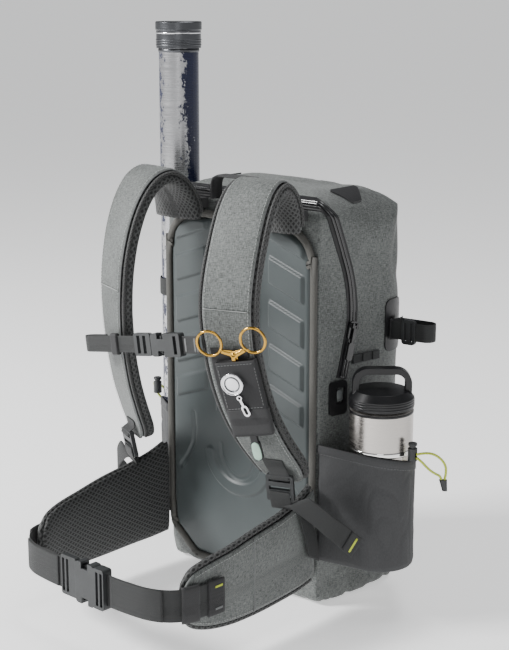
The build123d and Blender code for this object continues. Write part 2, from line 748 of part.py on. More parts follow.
# ---- tool dock on the right shoulder strap --------------------------------------------
dock_line = [((97.4, -200.2, 341), turned(22), 46), ((100, -194, 305), turned(22), 46),
             ((105, -182, 265), turned(22), 46), ((107.8, -175, 250), turned(22), 46)]
dock_base = band(dock_line, 1.0, 1.6, STRAP_SHELL_THICK + 1.3)
tool_run = Vector(8, 19, -80).normalized()
tool_out = tool_run.cross(Vector(*turned(22))).normalized()
tool_across = tool_out.cross(tool_run)
PIVOT = Vector(98, -199, 338) + tool_across * 8 + tool_out * 10.8
tools = Plane(origin=PIVOT, x_dir=tool_across, z_dir=tool_out)

with BuildPart() as tool_dock:
    with BuildSketch(tools.offset(-2.6)):
        with Locations((0, -53)):
            RectangleRounded(50, 92, 3)
    extrude(amount=9)
    with BuildSketch(tools.offset(-0.3)):
        with Locations((0, -53)):
            Rectangle(44, 94)
    extrude(amount=5.4, mode=Mode.SUBTRACT)
    add(dock_base)
save(tool_dock.part, "tool_dock")

BLADE_THICK = 2.0
RING_R, RING_WIRE = 14.6, 1.3


def forceps_half(side, layer):
    """One half of the forceps: its finger ring on one side and its jaw on the other."""
    with BuildPart() as half:
        with BuildSketch(tools.offset(layer)):
            with BuildLine():
                Polyline((side * 3.2, 4), (-side * 3.2, 2), (-side * 3.4, -20), (-side * 1.4, -62),
                         (side * 0.2, -62), (side * 1.0, -4), close=True)
            make_face()
            Circle(4.2)
            with BuildLine():
                Polyline((0, 4.2), (side * 13, 6.4), (side * 15.5, 2.6), (side * 4, -2.5), (0, -2),
                         close=True)
            make_face()
            with Locations((side * 27, 15)):
                Circle(RING_R + RING_WIRE)
                Circle(RING_R - RING_WIRE, mode=Mode.SUBTRACT)
        extrude(amount=BLADE_THICK)
    return half.part


with BuildPart() as forceps_fixed:
    add(forceps_half(-1, 0.0))
    with BuildSketch(tools):
        Circle(1.6)
    extrude(amount=2 * BLADE_THICK + 0.3)
save(forceps_fixed.part, "forceps_pinned_half")

with BuildPart() as forceps_moving:
    add(forceps_half(1, BLADE_THICK + 0.15))
    with BuildSketch(tools):
        Circle(1.66)
    extrude(amount=FAR, both=True, mode=Mode.SUBTRACT)
save(forceps_moving.part, "forceps_moving_half")

with BuildPart() as nipper:
    with BuildSketch(tools.offset(0.4)):
        with Locations((-1, -96)):
            Rectangle(8, 24)
        with Locations((-1, -118)):
            RectangleRounded(11, 24, 4)
    extrude(amount=4)
save(nipper.part, "line_nipper")

with BuildPart() as retractor_case:
    with BuildSketch(tools.offset(6.5)):
        with Locations((-7, -32)):
            Circle(13)
    extrude(amount=5)
    chamfer(retractor_case.edges().filter_by(GeomType.CIRCLE).sort_by_distance(PIVOT)[-1], 0.8)
save(retractor_case.part, "retractor_case")

with BuildPart() as retractor_clip:
    with BuildSketch(tools.offset(7.0)):
        with Locations((-3.5, -50)):
            Circle(3.2)
            Circle(1.6, mode=Mode.SUBTRACT)
        with Locations((-2, -56.5)):
            Rectangle(3, 8, rotation=14)
        with Locations((0.5, -66)):
            SlotOverall(14, 8, rotation=104)
            SlotOverall(9, 3.6, rotation=104, mode=Mode.SUBTRACT)
    extrude(amount=2.4)
save(retractor_clip.part, "retractor_clip")

# ---- steel bottle ---------------------------------------------------------------------
STAND_Z = POCKET_FLOOR + POCKET_WALL + 0.4
NECK_R = 31.0
bottle_axis = Plane(origin=(BOTTLE_X, BOTTLE_Y, 0), x_dir=(1, 0, 0), z_dir=(0, -1, 0))
with BuildPart() as bottle_body:
    with BuildSketch(bottle_axis):
        with BuildLine():
            Polyline((0, STAND_Z), (BOTTLE_R - 2, STAND_Z), (BOTTLE_R, STAND_Z + 3),
                     (BOTTLE_R, STEEL_TOP - 3), (BOTTLE_R - 3, STEEL_TOP), (NECK_R, STEEL_TOP),
                     (NECK_R, STEEL_TOP + 10), (NECK_R - 2, STEEL_TOP + 10),
                     (NECK_R - 2, STEEL_TOP - 4), (BOTTLE_R - 3, STEEL_TOP - 8),
                     (BOTTLE_R - 3, STAND_Z + 4), (0, STAND_Z + 4), close=True)
        make_face()
    revolve(axis=Axis((BOTTLE_X, BOTTLE_Y, 0), (0, 0, 1)))
save(bottle_body.part, "bottle_body")

handle_plane = Plane(origin=(BOTTLE_X, BOTTLE_Y, 0), x_dir=(cos(radians(43)), sin(radians(43)), 0),
                     z_dir=(sin(radians(43)), -cos(radians(43)), 0))
with BuildPart() as bottle_lid:
    with BuildSketch(bottle_axis):
        with BuildLine():
            Polyline((NECK_R + 0.4, STEEL_TOP + 0.4), (BOTTLE_R + 0.5, STEEL_TOP + 0.4),
                     (BOTTLE_R + 0.5, STEEL_TOP + 12), (BOTTLE_R - 6, STEEL_TOP + 20),
                     (0, STEEL_TOP + 22), (0, STEEL_TOP + 11), (NECK_R + 0.4, STEEL_TOP + 11),
                     close=True)
        make_face()
    revolve(axis=Axis((BOTTLE_X, BOTTLE_Y, 0), (0, 0, 1)))
    with BuildSketch(handle_plane) as handle:
        with BuildLine():
            Polyline((-34.5, STEEL_TOP + 11), (-34.5, STEEL_TOP + 46), (34.5, STEEL_TOP + 46),
                     (34.5, STEEL_TOP + 11), (27, STEEL_TOP + 11), (27, STEEL_TOP + 39),
                     (-27, STEEL_TOP + 39), (-27, STEEL_TOP + 11), close=True)
        make_face()
        for x, z, radius in ((34.5, 46, 18), (27, 39, 11)):
            for side in (-x, x):
                fillet(nearest_corner(handle, (side, STEEL_TOP + z)), radius=radius)
    extrude(amount=7, both=True)
save(bottle_lid.part, "bottle_lid")

# ---- rod tube -------------------------------------------------------------------------
tube_section = Plane(origin=(TUBE_X, TUBE_Y, 0), x_dir=(1, 0, 0), z_dir=(0, -1, 0))
tube_axis = Axis((TUBE_X, TUBE_Y, 0), (0, 0, 1))
TUBE_WALL = 1.6
CAP_LOW = TUBE_TOP - CAP_HEIGHT
with BuildPart() as rod_tube:
    with BuildSketch(tube_section):
        with BuildLine():
            Polyline((0, STAND_Z), (TUBE_R, STAND_Z), (TUBE_R, CAP_LOW + 18),
                     (TUBE_R - TUBE_WALL, CAP_LOW + 18), (TUBE_R - TUBE_WALL, STAND_Z + 8),
                     (0, STAND_Z + 8), close=True)
        make_face()
    revolve(axis=tube_axis)
save(rod_tube.part, "rod_tube")

with BuildPart() as rod_tube_cap:
    with BuildSketch(tube_section):
        with BuildLine():
            Polyline((TUBE_R + 0.4, CAP_LOW), (CAP_R - 1, CAP_LOW), (CAP_R - 1, CAP_LOW + 22),
                     (CAP_R, CAP_LOW + 23), (CAP_R, TUBE_TOP - 1), (CAP_R - 1, TUBE_TOP),
                     (0, TUBE_TOP), (0, TUBE_TOP - 5), (TUBE_R + 0.4, TUBE_TOP - 5), close=True)
        make_face()
    revolve(axis=tube_axis)
save(rod_tube_cap.part, "rod_tube_cap")
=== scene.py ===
"""Looks of the tackle backpack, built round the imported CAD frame. Lengths in the tables are mm."""
from math import cos, sin, pi, radians, sqrt

import bmesh
import bpy
import numpy as np
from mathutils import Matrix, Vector, noise
from mathutils.bvhtree import BVHTree


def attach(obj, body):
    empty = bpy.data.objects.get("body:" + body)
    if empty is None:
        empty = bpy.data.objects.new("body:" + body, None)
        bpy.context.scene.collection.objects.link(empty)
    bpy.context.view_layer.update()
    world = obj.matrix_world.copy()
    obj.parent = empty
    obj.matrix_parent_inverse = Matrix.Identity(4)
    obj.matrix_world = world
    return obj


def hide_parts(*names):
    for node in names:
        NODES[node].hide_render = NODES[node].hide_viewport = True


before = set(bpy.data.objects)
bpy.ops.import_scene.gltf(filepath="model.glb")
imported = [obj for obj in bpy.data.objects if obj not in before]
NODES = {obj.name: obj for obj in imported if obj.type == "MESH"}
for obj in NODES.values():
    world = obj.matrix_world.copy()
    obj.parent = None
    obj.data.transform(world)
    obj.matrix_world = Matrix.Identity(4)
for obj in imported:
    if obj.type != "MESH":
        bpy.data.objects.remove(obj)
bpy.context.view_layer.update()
SIDES = (("right", 1), ("left", -1))

# ---- camera ---------------------------------------------------------------------------
cam_data = bpy.data.cameras.new("view")
cam_data.lens = 80.14
cam_data.sensor_width = 36
camera = bpy.data.objects.new("view", cam_data)
bpy.context.collection.objects.link(camera)
camera.location = (1.1811, -1.3234, 0.7273)
aim = Vector((-0.025, -0.030, 0.319)) - camera.location
camera.rotation_euler = aim.to_track_quat("-Z", "Y").to_euler()
bpy.context.scene.camera = camera


# ---- node and material helpers --------------------------------------------------------
def add_node(tree, kind, ins=None, **attrs):
    made = tree.nodes.new("ShaderNode" + kind)
    for key, value in attrs.items():
        setattr(made, key, value)
    for key, value in (ins or {}).items():
        if isinstance(value, bpy.types.NodeSocket):
            tree.links.new(value, made.inputs[key])
        else:
            made.inputs[key].default_value = value
    return made


def math(tree, op, *values, clamp=False):
    return add_node(tree, "Math", dict(enumerate(values)), operation=op, use_clamp=clamp).outputs[0]


def coords(tree, kind, scale=(1, 1, 1), turn=0.0):
    """UV is in metres on the pieces made here; Object suits the CAD nodes."""
    source = add_node(tree, "TexCoord").outputs[kind]
    return add_node(tree, "Mapping", {"Vector": source, "Scale": scale,
                                      "Rotation": (0, 0, turn)}).outputs[0]


def speckle(tree, vector, scale=1.0, detail=3.0, rough=0.6):
    return add_node(tree, "TexNoise", {"Vector": vector, "Scale": scale, "Detail": detail,
                                       "Roughness": rough}).outputs["Fac"]


def ramp(tree, value, stops):
    made = add_node(tree, "ValToRGB", {"Fac": value})
    cells = made.color_ramp.elements
    while len(cells) < len(stops):
        cells.new(0.5)
    for cell, (place, colour) in zip(cells, stops):
        cell.position = place
        cell.color = (*colour, 1) if isinstance(colour, tuple) else (colour, colour, colour, 1)
    return made.outputs["Color"]


def material(name, colour, rough, **sockets):
    made = bpy.data.materials.new(name)
    made.use_nodes = True
    tree = made.node_tree
    shader = tree.nodes["Principled BSDF"]
    shader.inputs["Base Color"].default_value = (*colour, 1)
    shader.inputs["Roughness"].default_value = rough
    for key, value in sockets.items():
        shader.inputs[key.replace("_", " ")].default_value = value
    return made, tree, shader


def bump(tree, shader, height, distance, strength=1.0, edge=0.0):
    ins = {"Height": height, "Distance": distance, "Strength": strength}
    if edge:
        ins["Normal"] = add_node(tree, "Bevel", {"Radius": edge}, samples=6).outputs[0]
    normal = add_node(tree, "Bump", ins).outputs[0]
    tree.links.new(normal, shader.inputs["Normal"])


def heather(name, dark, light, kind="UV", rough=0.62):
    """Melange canvas: crossed slubs, a fine weave and a slow drift of tone."""
    made, tree, shader = material(name, light, rough, Sheen_Weight=0.12, Sheen_Roughness=0.5)
    warp = speckle(tree, coords(tree, kind, (900, 190, 900)), 1.0, 2.0, 0.7)
    weft = speckle(tree, coords(tree, kind, (190, 900, 190)), 1.0, 2.0, 0.7)
    slow = speckle(tree, coords(tree, kind, (9, 9, 9)), 1.0, 3.0, 0.6)
    mix = math(tree, "ADD", math(tree, "MULTIPLY", warp, 0.5), math(tree, "MULTIPLY", weft, 0.5))
    mix = math(tree, "ADD", mix, math(tree, "MULTIPLY", math(tree, "SUBTRACT", slow, 0.5), 0.30))
    tree.links.new(ramp(tree, mix, [(0.36, dark), (0.64, light)]), shader.inputs["Base Color"])
    fine = speckle(tree, coords(tree, kind, (1500, 1500, 1500)), 1.0, 1.0)
    bump(tree, shader, math(tree, "ADD", mix, math(tree, "MULTIPLY", fine, 0.3)), 0.0006, 0.6)
    return made


def spacer(name, pitch, hole_shade, cord, rough=0.6):
    """Spacer mesh: a raised diagonal lattice over its holes; the near-black of the holes is painted
    shade and the lighter grey of the lattice is partly a painted sheen on the dark mesh.
    """
    made, tree, shader = material(name, cord, rough, Sheen_Weight=0.15)
    place = add_node(tree, "SeparateXYZ", {"Vector": coords(tree, "UV", (1 / pitch, 0.72 / pitch, 1))})
    a = math(tree, "ADD", place.outputs[0], place.outputs[1])
    b = math(tree, "SUBTRACT", place.outputs[0], place.outputs[1])
    cells = [math(tree, "ABSOLUTE", math(tree, "SUBTRACT", math(tree, "FRACT", math(
        tree, "ADD", way, 40.0)), 0.5)) for way in (a, b)]
    edge = math(tree, "MAXIMUM", *cells)
    lattice = add_node(tree, "MapRange", {"Value": edge, "From Min": 0.27, "From Max": 0.38},
                       interpolation_type="SMOOTHSTEP").outputs[0]
    grain = speckle(tree, coords(tree, "UV", (900, 900, 900)), 1.0, 2.0)
    lit = math(tree, "MULTIPLY", lattice, math(tree, "ADD", 0.55, math(tree, "MULTIPLY", grain, 0.9)))
    # The lattice pattern is real; its colour runs from painted shade in the holes to a painted sheen on
    # the lattice.
    tree.links.new(ramp(tree, lit, [(0.0, hole_shade), (1.0, cord)]), shader.inputs["Base Color"])
    bump(tree, shader, lattice, 0.0012, 0.8)
    return made


def woven(name, colour, pitch=0.0013, kind="UV", rough=0.7, contrast=0.45):
    """Webbing or tape: a herringbone of ribs that slant both ways."""
    made, tree, shader = material(name, colour, rough, Sheen_Weight=0.06)
    place = add_node(tree, "SeparateXYZ", {"Vector": coords(tree, kind, (1 / pitch,) * 3)})
    across, along = place.outputs[0], place.outputs[1]
    if kind == "Object":
        along = math(tree, "ADD", along, place.outputs[2])
    zigzag = math(tree, "ABSOLUTE", math(tree, "SUBTRACT", math(tree, "FRACT", math(
        tree, "ADD", math(tree, "MULTIPLY", across, 0.25), 40.0)), 0.5))
    rib = math(tree, "ABSOLUTE", math(tree, "SUBTRACT", math(tree, "FRACT", math(
        tree, "ADD", math(tree, "ADD", along, math(tree, "MULTIPLY", zigzag, 3.0)), 400.0)), 0.5))
    grain = speckle(tree, coords(tree, kind, (700, 300, 700)), 1.0, 2.0)
    tone = math(tree, "ADD", math(tree, "MULTIPLY", rib, contrast * 2), math(
        tree, "MULTIPLY", grain, 0.6))
    dark = tuple(c * 0.6 for c in colour)
    light = tuple(min(1, c * 1.45) for c in colour)
    tree.links.new(ramp(tree, tone, [(0.15, dark), (0.85, light)]), shader.inputs["Base Color"])
    bump(tree, shader, tone, 0.0004, 0.7)
    return made


def moulded(name, colour, rough, scale=600, depth=0.00008, edge=0.0007, mottle=0.25, **sockets):
    """Moulded plastic, rubber or paint with fine grain and softened edges."""
    made, tree, shader = material(name, colour, rough, **sockets)
    place = coords(tree, "Object", (1, 1, 1))
    grain = speckle(tree, place, scale, 3.0)
    slow = speckle(tree, place, 28, 3.0)
    dark = tuple(c * (1 - mottle) for c in colour)
    light = tuple(min(1, c * (1 + mottle)) for c in colour)
    tree.links.new(ramp(tree, slow, [(0.3, dark), (0.7, light)]), shader.inputs["Base Color"])
    tree.links.new(ramp(tree, grain, [(0.3, max(0.02, rough - 0.07)), (0.7, min(1, rough + 0.07))]),
                   shader.inputs["Roughness"])
    bump(tree, shader, grain, depth, 1.0, edge)
    return made


def brushed(name, colour, rough, stretch, edge=0.0006, **sockets):
    """Metal with fine brushing: long marks where stretch is small."""
    made, tree, shader = material(name, colour, rough, Metallic=1.0, **sockets)
    marks = speckle(tree, coords(tree, "Object", stretch), 1.0, 4.0, 0.7)
    tree.links.new(ramp(tree, marks, [(0.3, max(0.03, rough - 0.09)), (0.7, rough + 0.1)]),
                   shader.inputs["Roughness"])
    bump(tree, shader, marks, 0.00005, 0.6, edge)
    return made, tree, shader


FABRIC = heather("coated_fabric", (0.030, 0.034, 0.032), (0.190, 0.203, 0.195))
FABRIC_DARK = heather("coated_fabric_lower", (0.030, 0.034, 0.032), (0.170, 0.182, 0.175))
# Both spacer meshes carry painted shade in their holes and a painted sheen on their lattice.
MESH = spacer("spacer_mesh", 0.0060, (0.002, 0.002, 0.002), (0.062, 0.064, 0.063))
MESH_FINE = spacer("spacer_mesh_fine", 0.0034, (0.010, 0.010, 0.010), (0.050, 0.051, 0.050))
WEBBING = woven("webbing", (0.015, 0.016, 0.016))
TAPE = woven("border_tape", (0.070, 0.068, 0.061), 0.0016, contrast=0.6)
ELASTIC = woven("black_elastic", (0.020, 0.020, 0.021), 0.0018)
STRETCH = woven("stretch_fabric", (0.052, 0.053, 0.055), 0.0009, rough=0.75, contrast=0.2)
BALLISTIC = woven("dock_fabric", (0.011, 0.011, 0.012), 0.0011)
WEB_OBJ = woven("webbing_solid", (0.024, 0.0255, 0.0255), kind="Object")
LINING = woven("lining_fabric", (0.035, 0.035, 0.036), kind="Object")
PLASTIC = moulded("buckle_plastic", (0.026, 0.028, 0.029), 0.42)
BLACK = moulded("bottle_plastic", (0.004, 0.004, 0.005), 0.34, scale=900)
GLOSS = moulded("zipper_gloss", (0.006, 0.006, 0.007), 0.16, scale=120, depth=0.0002,
                Coat_Weight=0.6, Coat_Roughness=0.08)
TPU = moulded("welded_tpu", (0.011, 0.011, 0.012), 0.36, scale=260, depth=0.0001, edge=0.0)
FOAM = moulded("eva_panel", (0.054, 0.066, 0.067), 0.44, scale=1500, depth=0.0001, edge=0.0,
               mottle=0.06, Sheen_Weight=0.1)
SHEET = moulded("frame_plastic", (0.6, 0.6, 0.58), 0.5)
GREY_TPU = moulded("slot_insert", (0.12, 0.13, 0.13), 0.5, edge=0.0)
MINT = moulded("mint_paint", (0.35, 0.52, 0.42), 0.35, Coat_Weight=0.4)
THREAD = moulded("pale_thread", (0.34, 0.355, 0.345), 0.7, edge=0.0)
THREAD_DARK = moulded("grey_thread", (0.16, 0.165, 0.165), 0.7, edge=0.0)
LIME = moulded("lime_thread", (0.52, 0.60, 0.05), 0.6, edge=0.0)
GOLD_TACK = moulded("gold_thread", (0.50, 0.40, 0.12), 0.6, edge=0.0)
GOLD = brushed("gold_metal", (0.50, 0.29, 0.055), 0.16, (300, 300, 300))[0]
CHROME = brushed("chrome_metal", (0.80, 0.80, 0.82), 0.12, (500, 500, 500))[0]
BRIGHT = brushed("bright_ring", (0.86, 0.85, 0.83), 0.10, (40, 40, 900))[0]
STEEL = brushed("bottle_steel", (0.52, 0.49, 0.46), 0.24, (18, 18, 2600), 0.0, Anisotropic=0.6)[0]
GUNMETAL = brushed("cap_metal", (0.105, 0.108, 0.115), 0.33, (60, 60, 1500))[0]


def lime_cord():
    made, tree, shader = material("lime_cord", (0.50, 0.60, 0.02), 0.6, Sheen_Weight=0.3)
    place = add_node(tree, "SeparateXYZ", {"Vector": coords(tree, "Object", (1, 1, 1))})
    turns = math(tree, "MULTIPLY", math(tree, "ADD", place.outputs[1], place.outputs[2]), 900.0)
    twill = math(tree, "ABSOLUTE", math(tree, "SUBTRACT", math(tree, "FRACT", turns), 0.5))
    tree.links.new(ramp(tree, twill, [(0.05, (0.30, 0.38, 0.01)), (0.4, (0.62, 0.70, 0.05))]),
                   shader.inputs["Base Color"])
    bump(tree, shader, twill, 0.0004, 0.7)
    return made


def splatter():
    """Satin silver tube with dark blue splatter, denser towards one side."""
    made, tree, shader = brushed("tube_metal", (0.50, 0.50, 0.51), 0.26, (30, 30, 900), 0.0)
    place = add_node(tree, "SeparateXYZ", {"Vector": coords(tree, "Object", (1, 1, 1))})
    side = math(tree, "ADD", math(tree, "MULTIPLY", math(tree, "ADD", place.outputs[0], 0.164), 28.8),
                math(tree, "MULTIPLY", math(tree, "ADD", place.outputs[1], 0.022), 26.8))
    big = speckle(tree, coords(tree, "Object", (1, 1, 0.8)), 62, 6.0, 0.78)
    small = speckle(tree, coords(tree, "Object", (1, 1, 0.55)), 230, 5.0, 0.8)
    far = math(tree, "MULTIPLY", math(tree, "ABSOLUTE", math(tree, "ADD", side, 0.28)), 0.34)
    paint = math(tree, "ADD", math(tree, "ADD", math(tree, "MULTIPLY", big, 0.75),
                                   math(tree, "MULTIPLY", small, 0.45)), far)
    mask = add_node(tree, "MapRange", {"Value": paint, "From Min": 0.795, "From Max": 0.815}).outputs[0]
    tree.links.new(ramp(tree, mask, [(0.0, (0.50, 0.50, 0.51)), (1.0, (0.005, 0.009, 0.040))]),
                   shader.inputs["Base Color"])
    tree.links.new(math(tree, "SUBTRACT", 1.0, math(tree, "MULTIPLY", mask, 0.9)),
                   shader.inputs["Metallic"])
    return made


LIME_CORD = lime_cord()
TUBE = splatter()


# ---- mesh helpers ---------------------------------------------------------------------
def finish_piece(obj, mat, body, replaces=(), smooth=True):
    obj.data.materials.clear()
    for item in mat if isinstance(mat, (list, tuple)) else [mat]:
        obj.data.materials.append(item)
    if smooth and obj.type == "MESH":
        obj.data.polygons.foreach_set("use_smooth", [True] * len(obj.data.polygons))
    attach(obj, body)
    if replaces:
        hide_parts(*replaces)
    return obj


def from_data(name, verts, faces, uvs=None):
    mesh = bpy.data.meshes.new(name)
    mesh.from_pydata([tuple(v) for v in np.asarray(verts) / 1000.0], [], faces)
    if uvs is not None:
        layer = mesh.uv_layers.new(name="UVMap").data
        flat = np.asarray(uvs)[[v for face in faces for v in face]] / 1000.0
        layer.foreach_set("uv", flat.reshape(-1))
    mesh.validate()
    mesh.update()
    made = bpy.data.objects.new(name, mesh)
    bpy.context.collection.objects.link(made)
    return made


def grid(name, pts, uv, ring=False, caps=False, flip=False):
    """Quads through an array of points (rows, columns, 3); ring closes the columns."""
    rows, cols = pts.shape[:2]
    if ring:
        pts = np.concatenate([pts, pts[:, :1]], 1)
        uv = np.concatenate([uv, uv[:, :1]], 1)
        cols += 1
    index = np.arange(rows * cols).reshape(rows, cols)
    faces = np.stack([index[:-1, :-1], index[:-1, 1:], index[1:, 1:], index[1:, :-1]], -1)
    faces = faces.reshape(-1, 4)
    faces = [tuple(int(i) for i in (f[::-1] if flip else f)) for f in faces]
    if caps:
        faces.append(tuple(int(i) for i in (index[0, :-1] if flip else index[0, :-1][::-1])))
        faces.append(tuple(int(i) for i in (index[-1, :-1][::-1] if flip else index[-1, :-1])))
    made = from_data(name, pts.reshape(-1, 3), faces, uv.reshape(-1, 2))
    if ring:
        merge(made, 0.00002)
    return made


def merge(obj, distance):
    work = bmesh.new()
    work.from_mesh(obj.data)
    bmesh.ops.remove_doubles(work, verts=work.verts, dist=distance)
    work.to_mesh(obj.data)
    work.free()


def through(points, step):
    """Smooth curve through points (n, k), sampled about every step."""
    points = np.asarray(points, float)
    ends = np.concatenate([[2 * points[0] - points[1]], points, [2 * points[-1] - points[-2]]])
    out = []
    for i in range(1, len(ends) - 2):
        a, b, c, d = ends[i - 1:i + 3]
        count = max(2, int(round(np.linalg.norm((c - b)[:3]) / step)))
        for t in np.arange(count) / count:
            out.append(0.5 * (2 * b + (c - a) * t + (2 * a - 5 * b + 4 * c - d) * t ** 2
                              + (3 * b - a - 3 * c + d) * t ** 3))
    return np.array(out + [points[-1]])


def unit(v):
    return v / np.linalg.norm(v, axis=-1, keepdims=True)


def waves(pts, size, seed):
    return np.array([noise.noise(Vector(p) / size + Vector((seed, 3 * seed, 7))) for p in pts])


class Line:
    """A band's middle line with its width direction and outward direction."""

    def __init__(self, stations, step=4.0):
        rows = [(*p, *unit(np.array(w, float)), s) for p, w, s in stations]
        data = through(rows, step)
        self.mid, self.across, self.width = data[:, :3], unit(data[:, 3:6]), data[:, 6]
        run = unit(np.gradient(self.mid, axis=0))
        run = unit(run - self.across * (run * self.across).sum(1, keepdims=True))
        self.out = np.cross(run, self.across)
        self.s = np.concatenate([[0], np.cumsum(np.linalg.norm(np.diff(self.mid, axis=0), axis=1))])

    def at(self, u, v):
        """Points at a share u of the half width and a height v off the line."""
        return self.mid + self.across * (u * self.width / 2)[:, None] + self.out * (
            v * np.ones(len(self.s)))[:, None]


def soft_box(count, power, start):
    """Unit section between a circle (power 2) and a square, from an angle round."""
    angle = np.linspace(start, start + 2 * pi, count, endpoint=False)
    return [np.sign(way) * np.abs(way) ** (2 / power) for way in (np.cos(angle), np.sin(angle))]


def strip(name, line, mat, body, low, high, scale=1.0, power=3.2, count=32, sign=1, ends=(0, 0),
          ripple=0.0, seed=1.0, replaces=(), trim=0.0):
    """Closed soft band along a line: low to high is its thickness; sign -1 mirrors it."""
    a, b = soft_box(count, power, -pi / 2)
    half = line.width * scale / 2 - trim
    total = line.s[-1]
    thick = np.ones(len(line.s))
    for radius, reach in zip(ends, (line.s, total - line.s)):
        if radius:
            part = np.clip(1 - reach / radius, 0, 1)
            half = half - radius * (1 - np.sqrt(np.maximum(0, 1 - part ** 2)))
            thick = np.minimum(thick, np.sqrt(np.maximum(0.03, 1 - part ** 4)))
    middle, deep = (low + high) / 2, abs(high - low) / 2
    v = middle + deep * b[None, :] * thick[:, None]
    u = half[:, None] * a[None, :]
    pts = line.mid[:, None] + line.across[:, None] * u[..., None] + line.out[:, None] * v[..., None]
    if ripple:
        flat = pts.reshape(-1, 3)
        move = waves(flat, 26, seed) * 0.6 + waves(flat, 11, seed + 5) * 0.4
        pts = pts + line.out[:, None] * (move.reshape(v.shape) * ripple * np.sign(b)[None, :]
                                         )[..., None] * (np.abs(a) < 0.97)[None, :, None]
    step = np.hypot(np.diff(u, axis=1), np.diff(v, axis=1))
    reach = np.concatenate([np.zeros((len(u), 1)), np.cumsum(step, axis=1)], 1)
    uv = np.stack([reach - reach[:, count // 2:count // 2 + 1],
                   np.repeat(line.s[:, None], count, 1)], -1)
    if sign < 0:
        pts = pts * np.array([-1, 1, 1])
    made = grid(name, pts, uv, ring=True, caps=True, flip=sign < 0)
    fix_normals(made)
    return finish_piece(made, mat, body, replaces)


def fix_normals(obj):
    work = bmesh.new()
    work.from_mesh(obj.data)
    bmesh.ops.recalc_face_normals(work, faces=work.faces)
    work.to_mesh(obj.data)
    work.free()


def tube(name, pts, radius, mat, body, closed=False, squash=1.0, sides=10, up=None):
    """Round or flattened tube along sampled points."""
    pts = np.asarray(pts, float)
    if closed:
        run = unit(np.roll(pts, -1, 0) - np.roll(pts, 1, 0))
    else:
        run = unit(np.gradient(pts, axis=0))
    hint = np.array([0.3, 0.2, 0.93]) if up is None else np.asarray(up, float)
    side = unit(np.cross(run, np.broadcast_to(hint, run.shape)))
    top = np.cross(side, run)
    angle = np.linspace(0, 2 * pi, sides, endpoint=False)
    ring_pts = (pts[:, None] + side[:, None] * (np.cos(angle) * radius)[None, :, None]
                + top[:, None] * (np.sin(angle) * radius * squash)[None, :, None])
    s = np.concatenate([[0], np.cumsum(np.linalg.norm(np.diff(pts, axis=0), axis=1))])
    uv = np.stack(np.broadcast_arrays(angle[None, :] * radius, s[:, None]), -1)
    if closed:
        ring_pts = np.concatenate([ring_pts, ring_pts[:1]])
        uv = np.concatenate([uv, uv[:1] + s[-1]])
    made = grid(name, ring_pts, uv, ring=True, caps=not closed)
    if closed:
        merge(made, 0.00002)
    fix_normals(made)
    return finish_piece(made, mat, body)


def stitches(name, lines, mat, body, out, length=2.6, gap=1.3, radius=0.32):
    """Rows of sunk thread: each stitch is a small tapered bar that lies along its line."""
    verts, faces = [], []
    for pts, outs in zip(lines, out):
        pts = np.asarray(pts, float)
        outs = np.broadcast_to(np.asarray(outs, float), pts.shape)
        s = np.concatenate([[0], np.cumsum(np.linalg.norm(np.diff(pts, axis=0), axis=1))])
        start = gap / 2
        while start + length < s[-1]:
            ends = [np.array([np.interp(t, s, pts[:, k]) for k in range(3)])
                    for t in (start, start + length)]
            up = unit(np.array([np.interp(start, s, outs[:, k]) for k in range(3)]))
            run = unit(ends[1] - ends[0])
            side = np.cross(run, up)
            base = len(verts)
            for k, share in ((0, 0.0), (0.12, 1.0), (0.88, 1.0), (1.0, 0.0)):
                c = ends[0] + (ends[1] - ends[0]) * k
                for ca, sa in ((1, 0), (0.6, 0.8), (-0.6, 0.8), (-1, 0)):
                    verts.append(c + side * ca * radius * (0.5 + share / 2)
                                 + up * (sa * radius * 1.2 * share - 0.15))
            for k in range(3):
                for j in range(3):
                    q = base + 4 * k + j
                    faces.append((q, q + 1, q + 5, q + 4))
            start += length + gap
    made = from_data(name, verts, faces, np.asarray(verts)[:, :2])
    return finish_piece(made, mat, body)


def box_uv(obj):
    mesh = obj.data
    layer = (mesh.uv_layers.get("UVMap") or mesh.uv_layers.new(name="UVMap")).data
    for face in mesh.polygons:
        n = face.normal
        k = max(range(3), key=lambda i: abs(n[i]))
        i, j = ((1, 2), (0, 2), (0, 1))[k]
        for loop in face.loop_indices:
            co = mesh.vertices[mesh.loops[loop].vertex_index].co
            layer[loop].uv = (co[i], co[j])


def give(node, mat):
    """Material on a CAD node's own object."""
    for place in NODES[node].material_slots:
        place.material = mat


def bvh_of(names):
    verts, faces = [], []
    for node in names:
        obj = NODES[node]
        base = len(verts)
        verts += [obj.matrix_world @ v.co for v in obj.data.vertices]
        faces += [tuple(base + i for i in p.vertices) for p in obj.data.polygons]
    return BVHTree.FromPolygons(verts, faces)


# ---- cords ----------------------------------------------------------------------------
UPPER = [(233.6, -34, 207.3), (240.6, -30, 209.8), (246.1, -18, 207.3), (249.1, -6, 198.5),
         (249.1, 3, 188), (246.2, 8, 178), (243.2, 9.9, 168.6), (242.0, 9.6, 162.0)]
LOWER = [(233.6, -34, 203.7), (237.1, -29, 198.7), (238.6, -21, 190.2), (239.6, -12, 182.7),
         (240.2, -3, 177.2), (240, 4, 173.6), (240, 7.5, 168.6), (240.4, 8.2, 162.4)]
LOW_TURN = [(251.5, 4, 189), (249.5, 10, 178), (243.5, 9, 169), (237.5, 1, 166),
            (235.5, -9, 171), (236, -15, 181)]
LEFT = [(28.1 - x, y, z) for x, y, z in UPPER[:4] + LOW_TURN + LOWER[2::-1]]


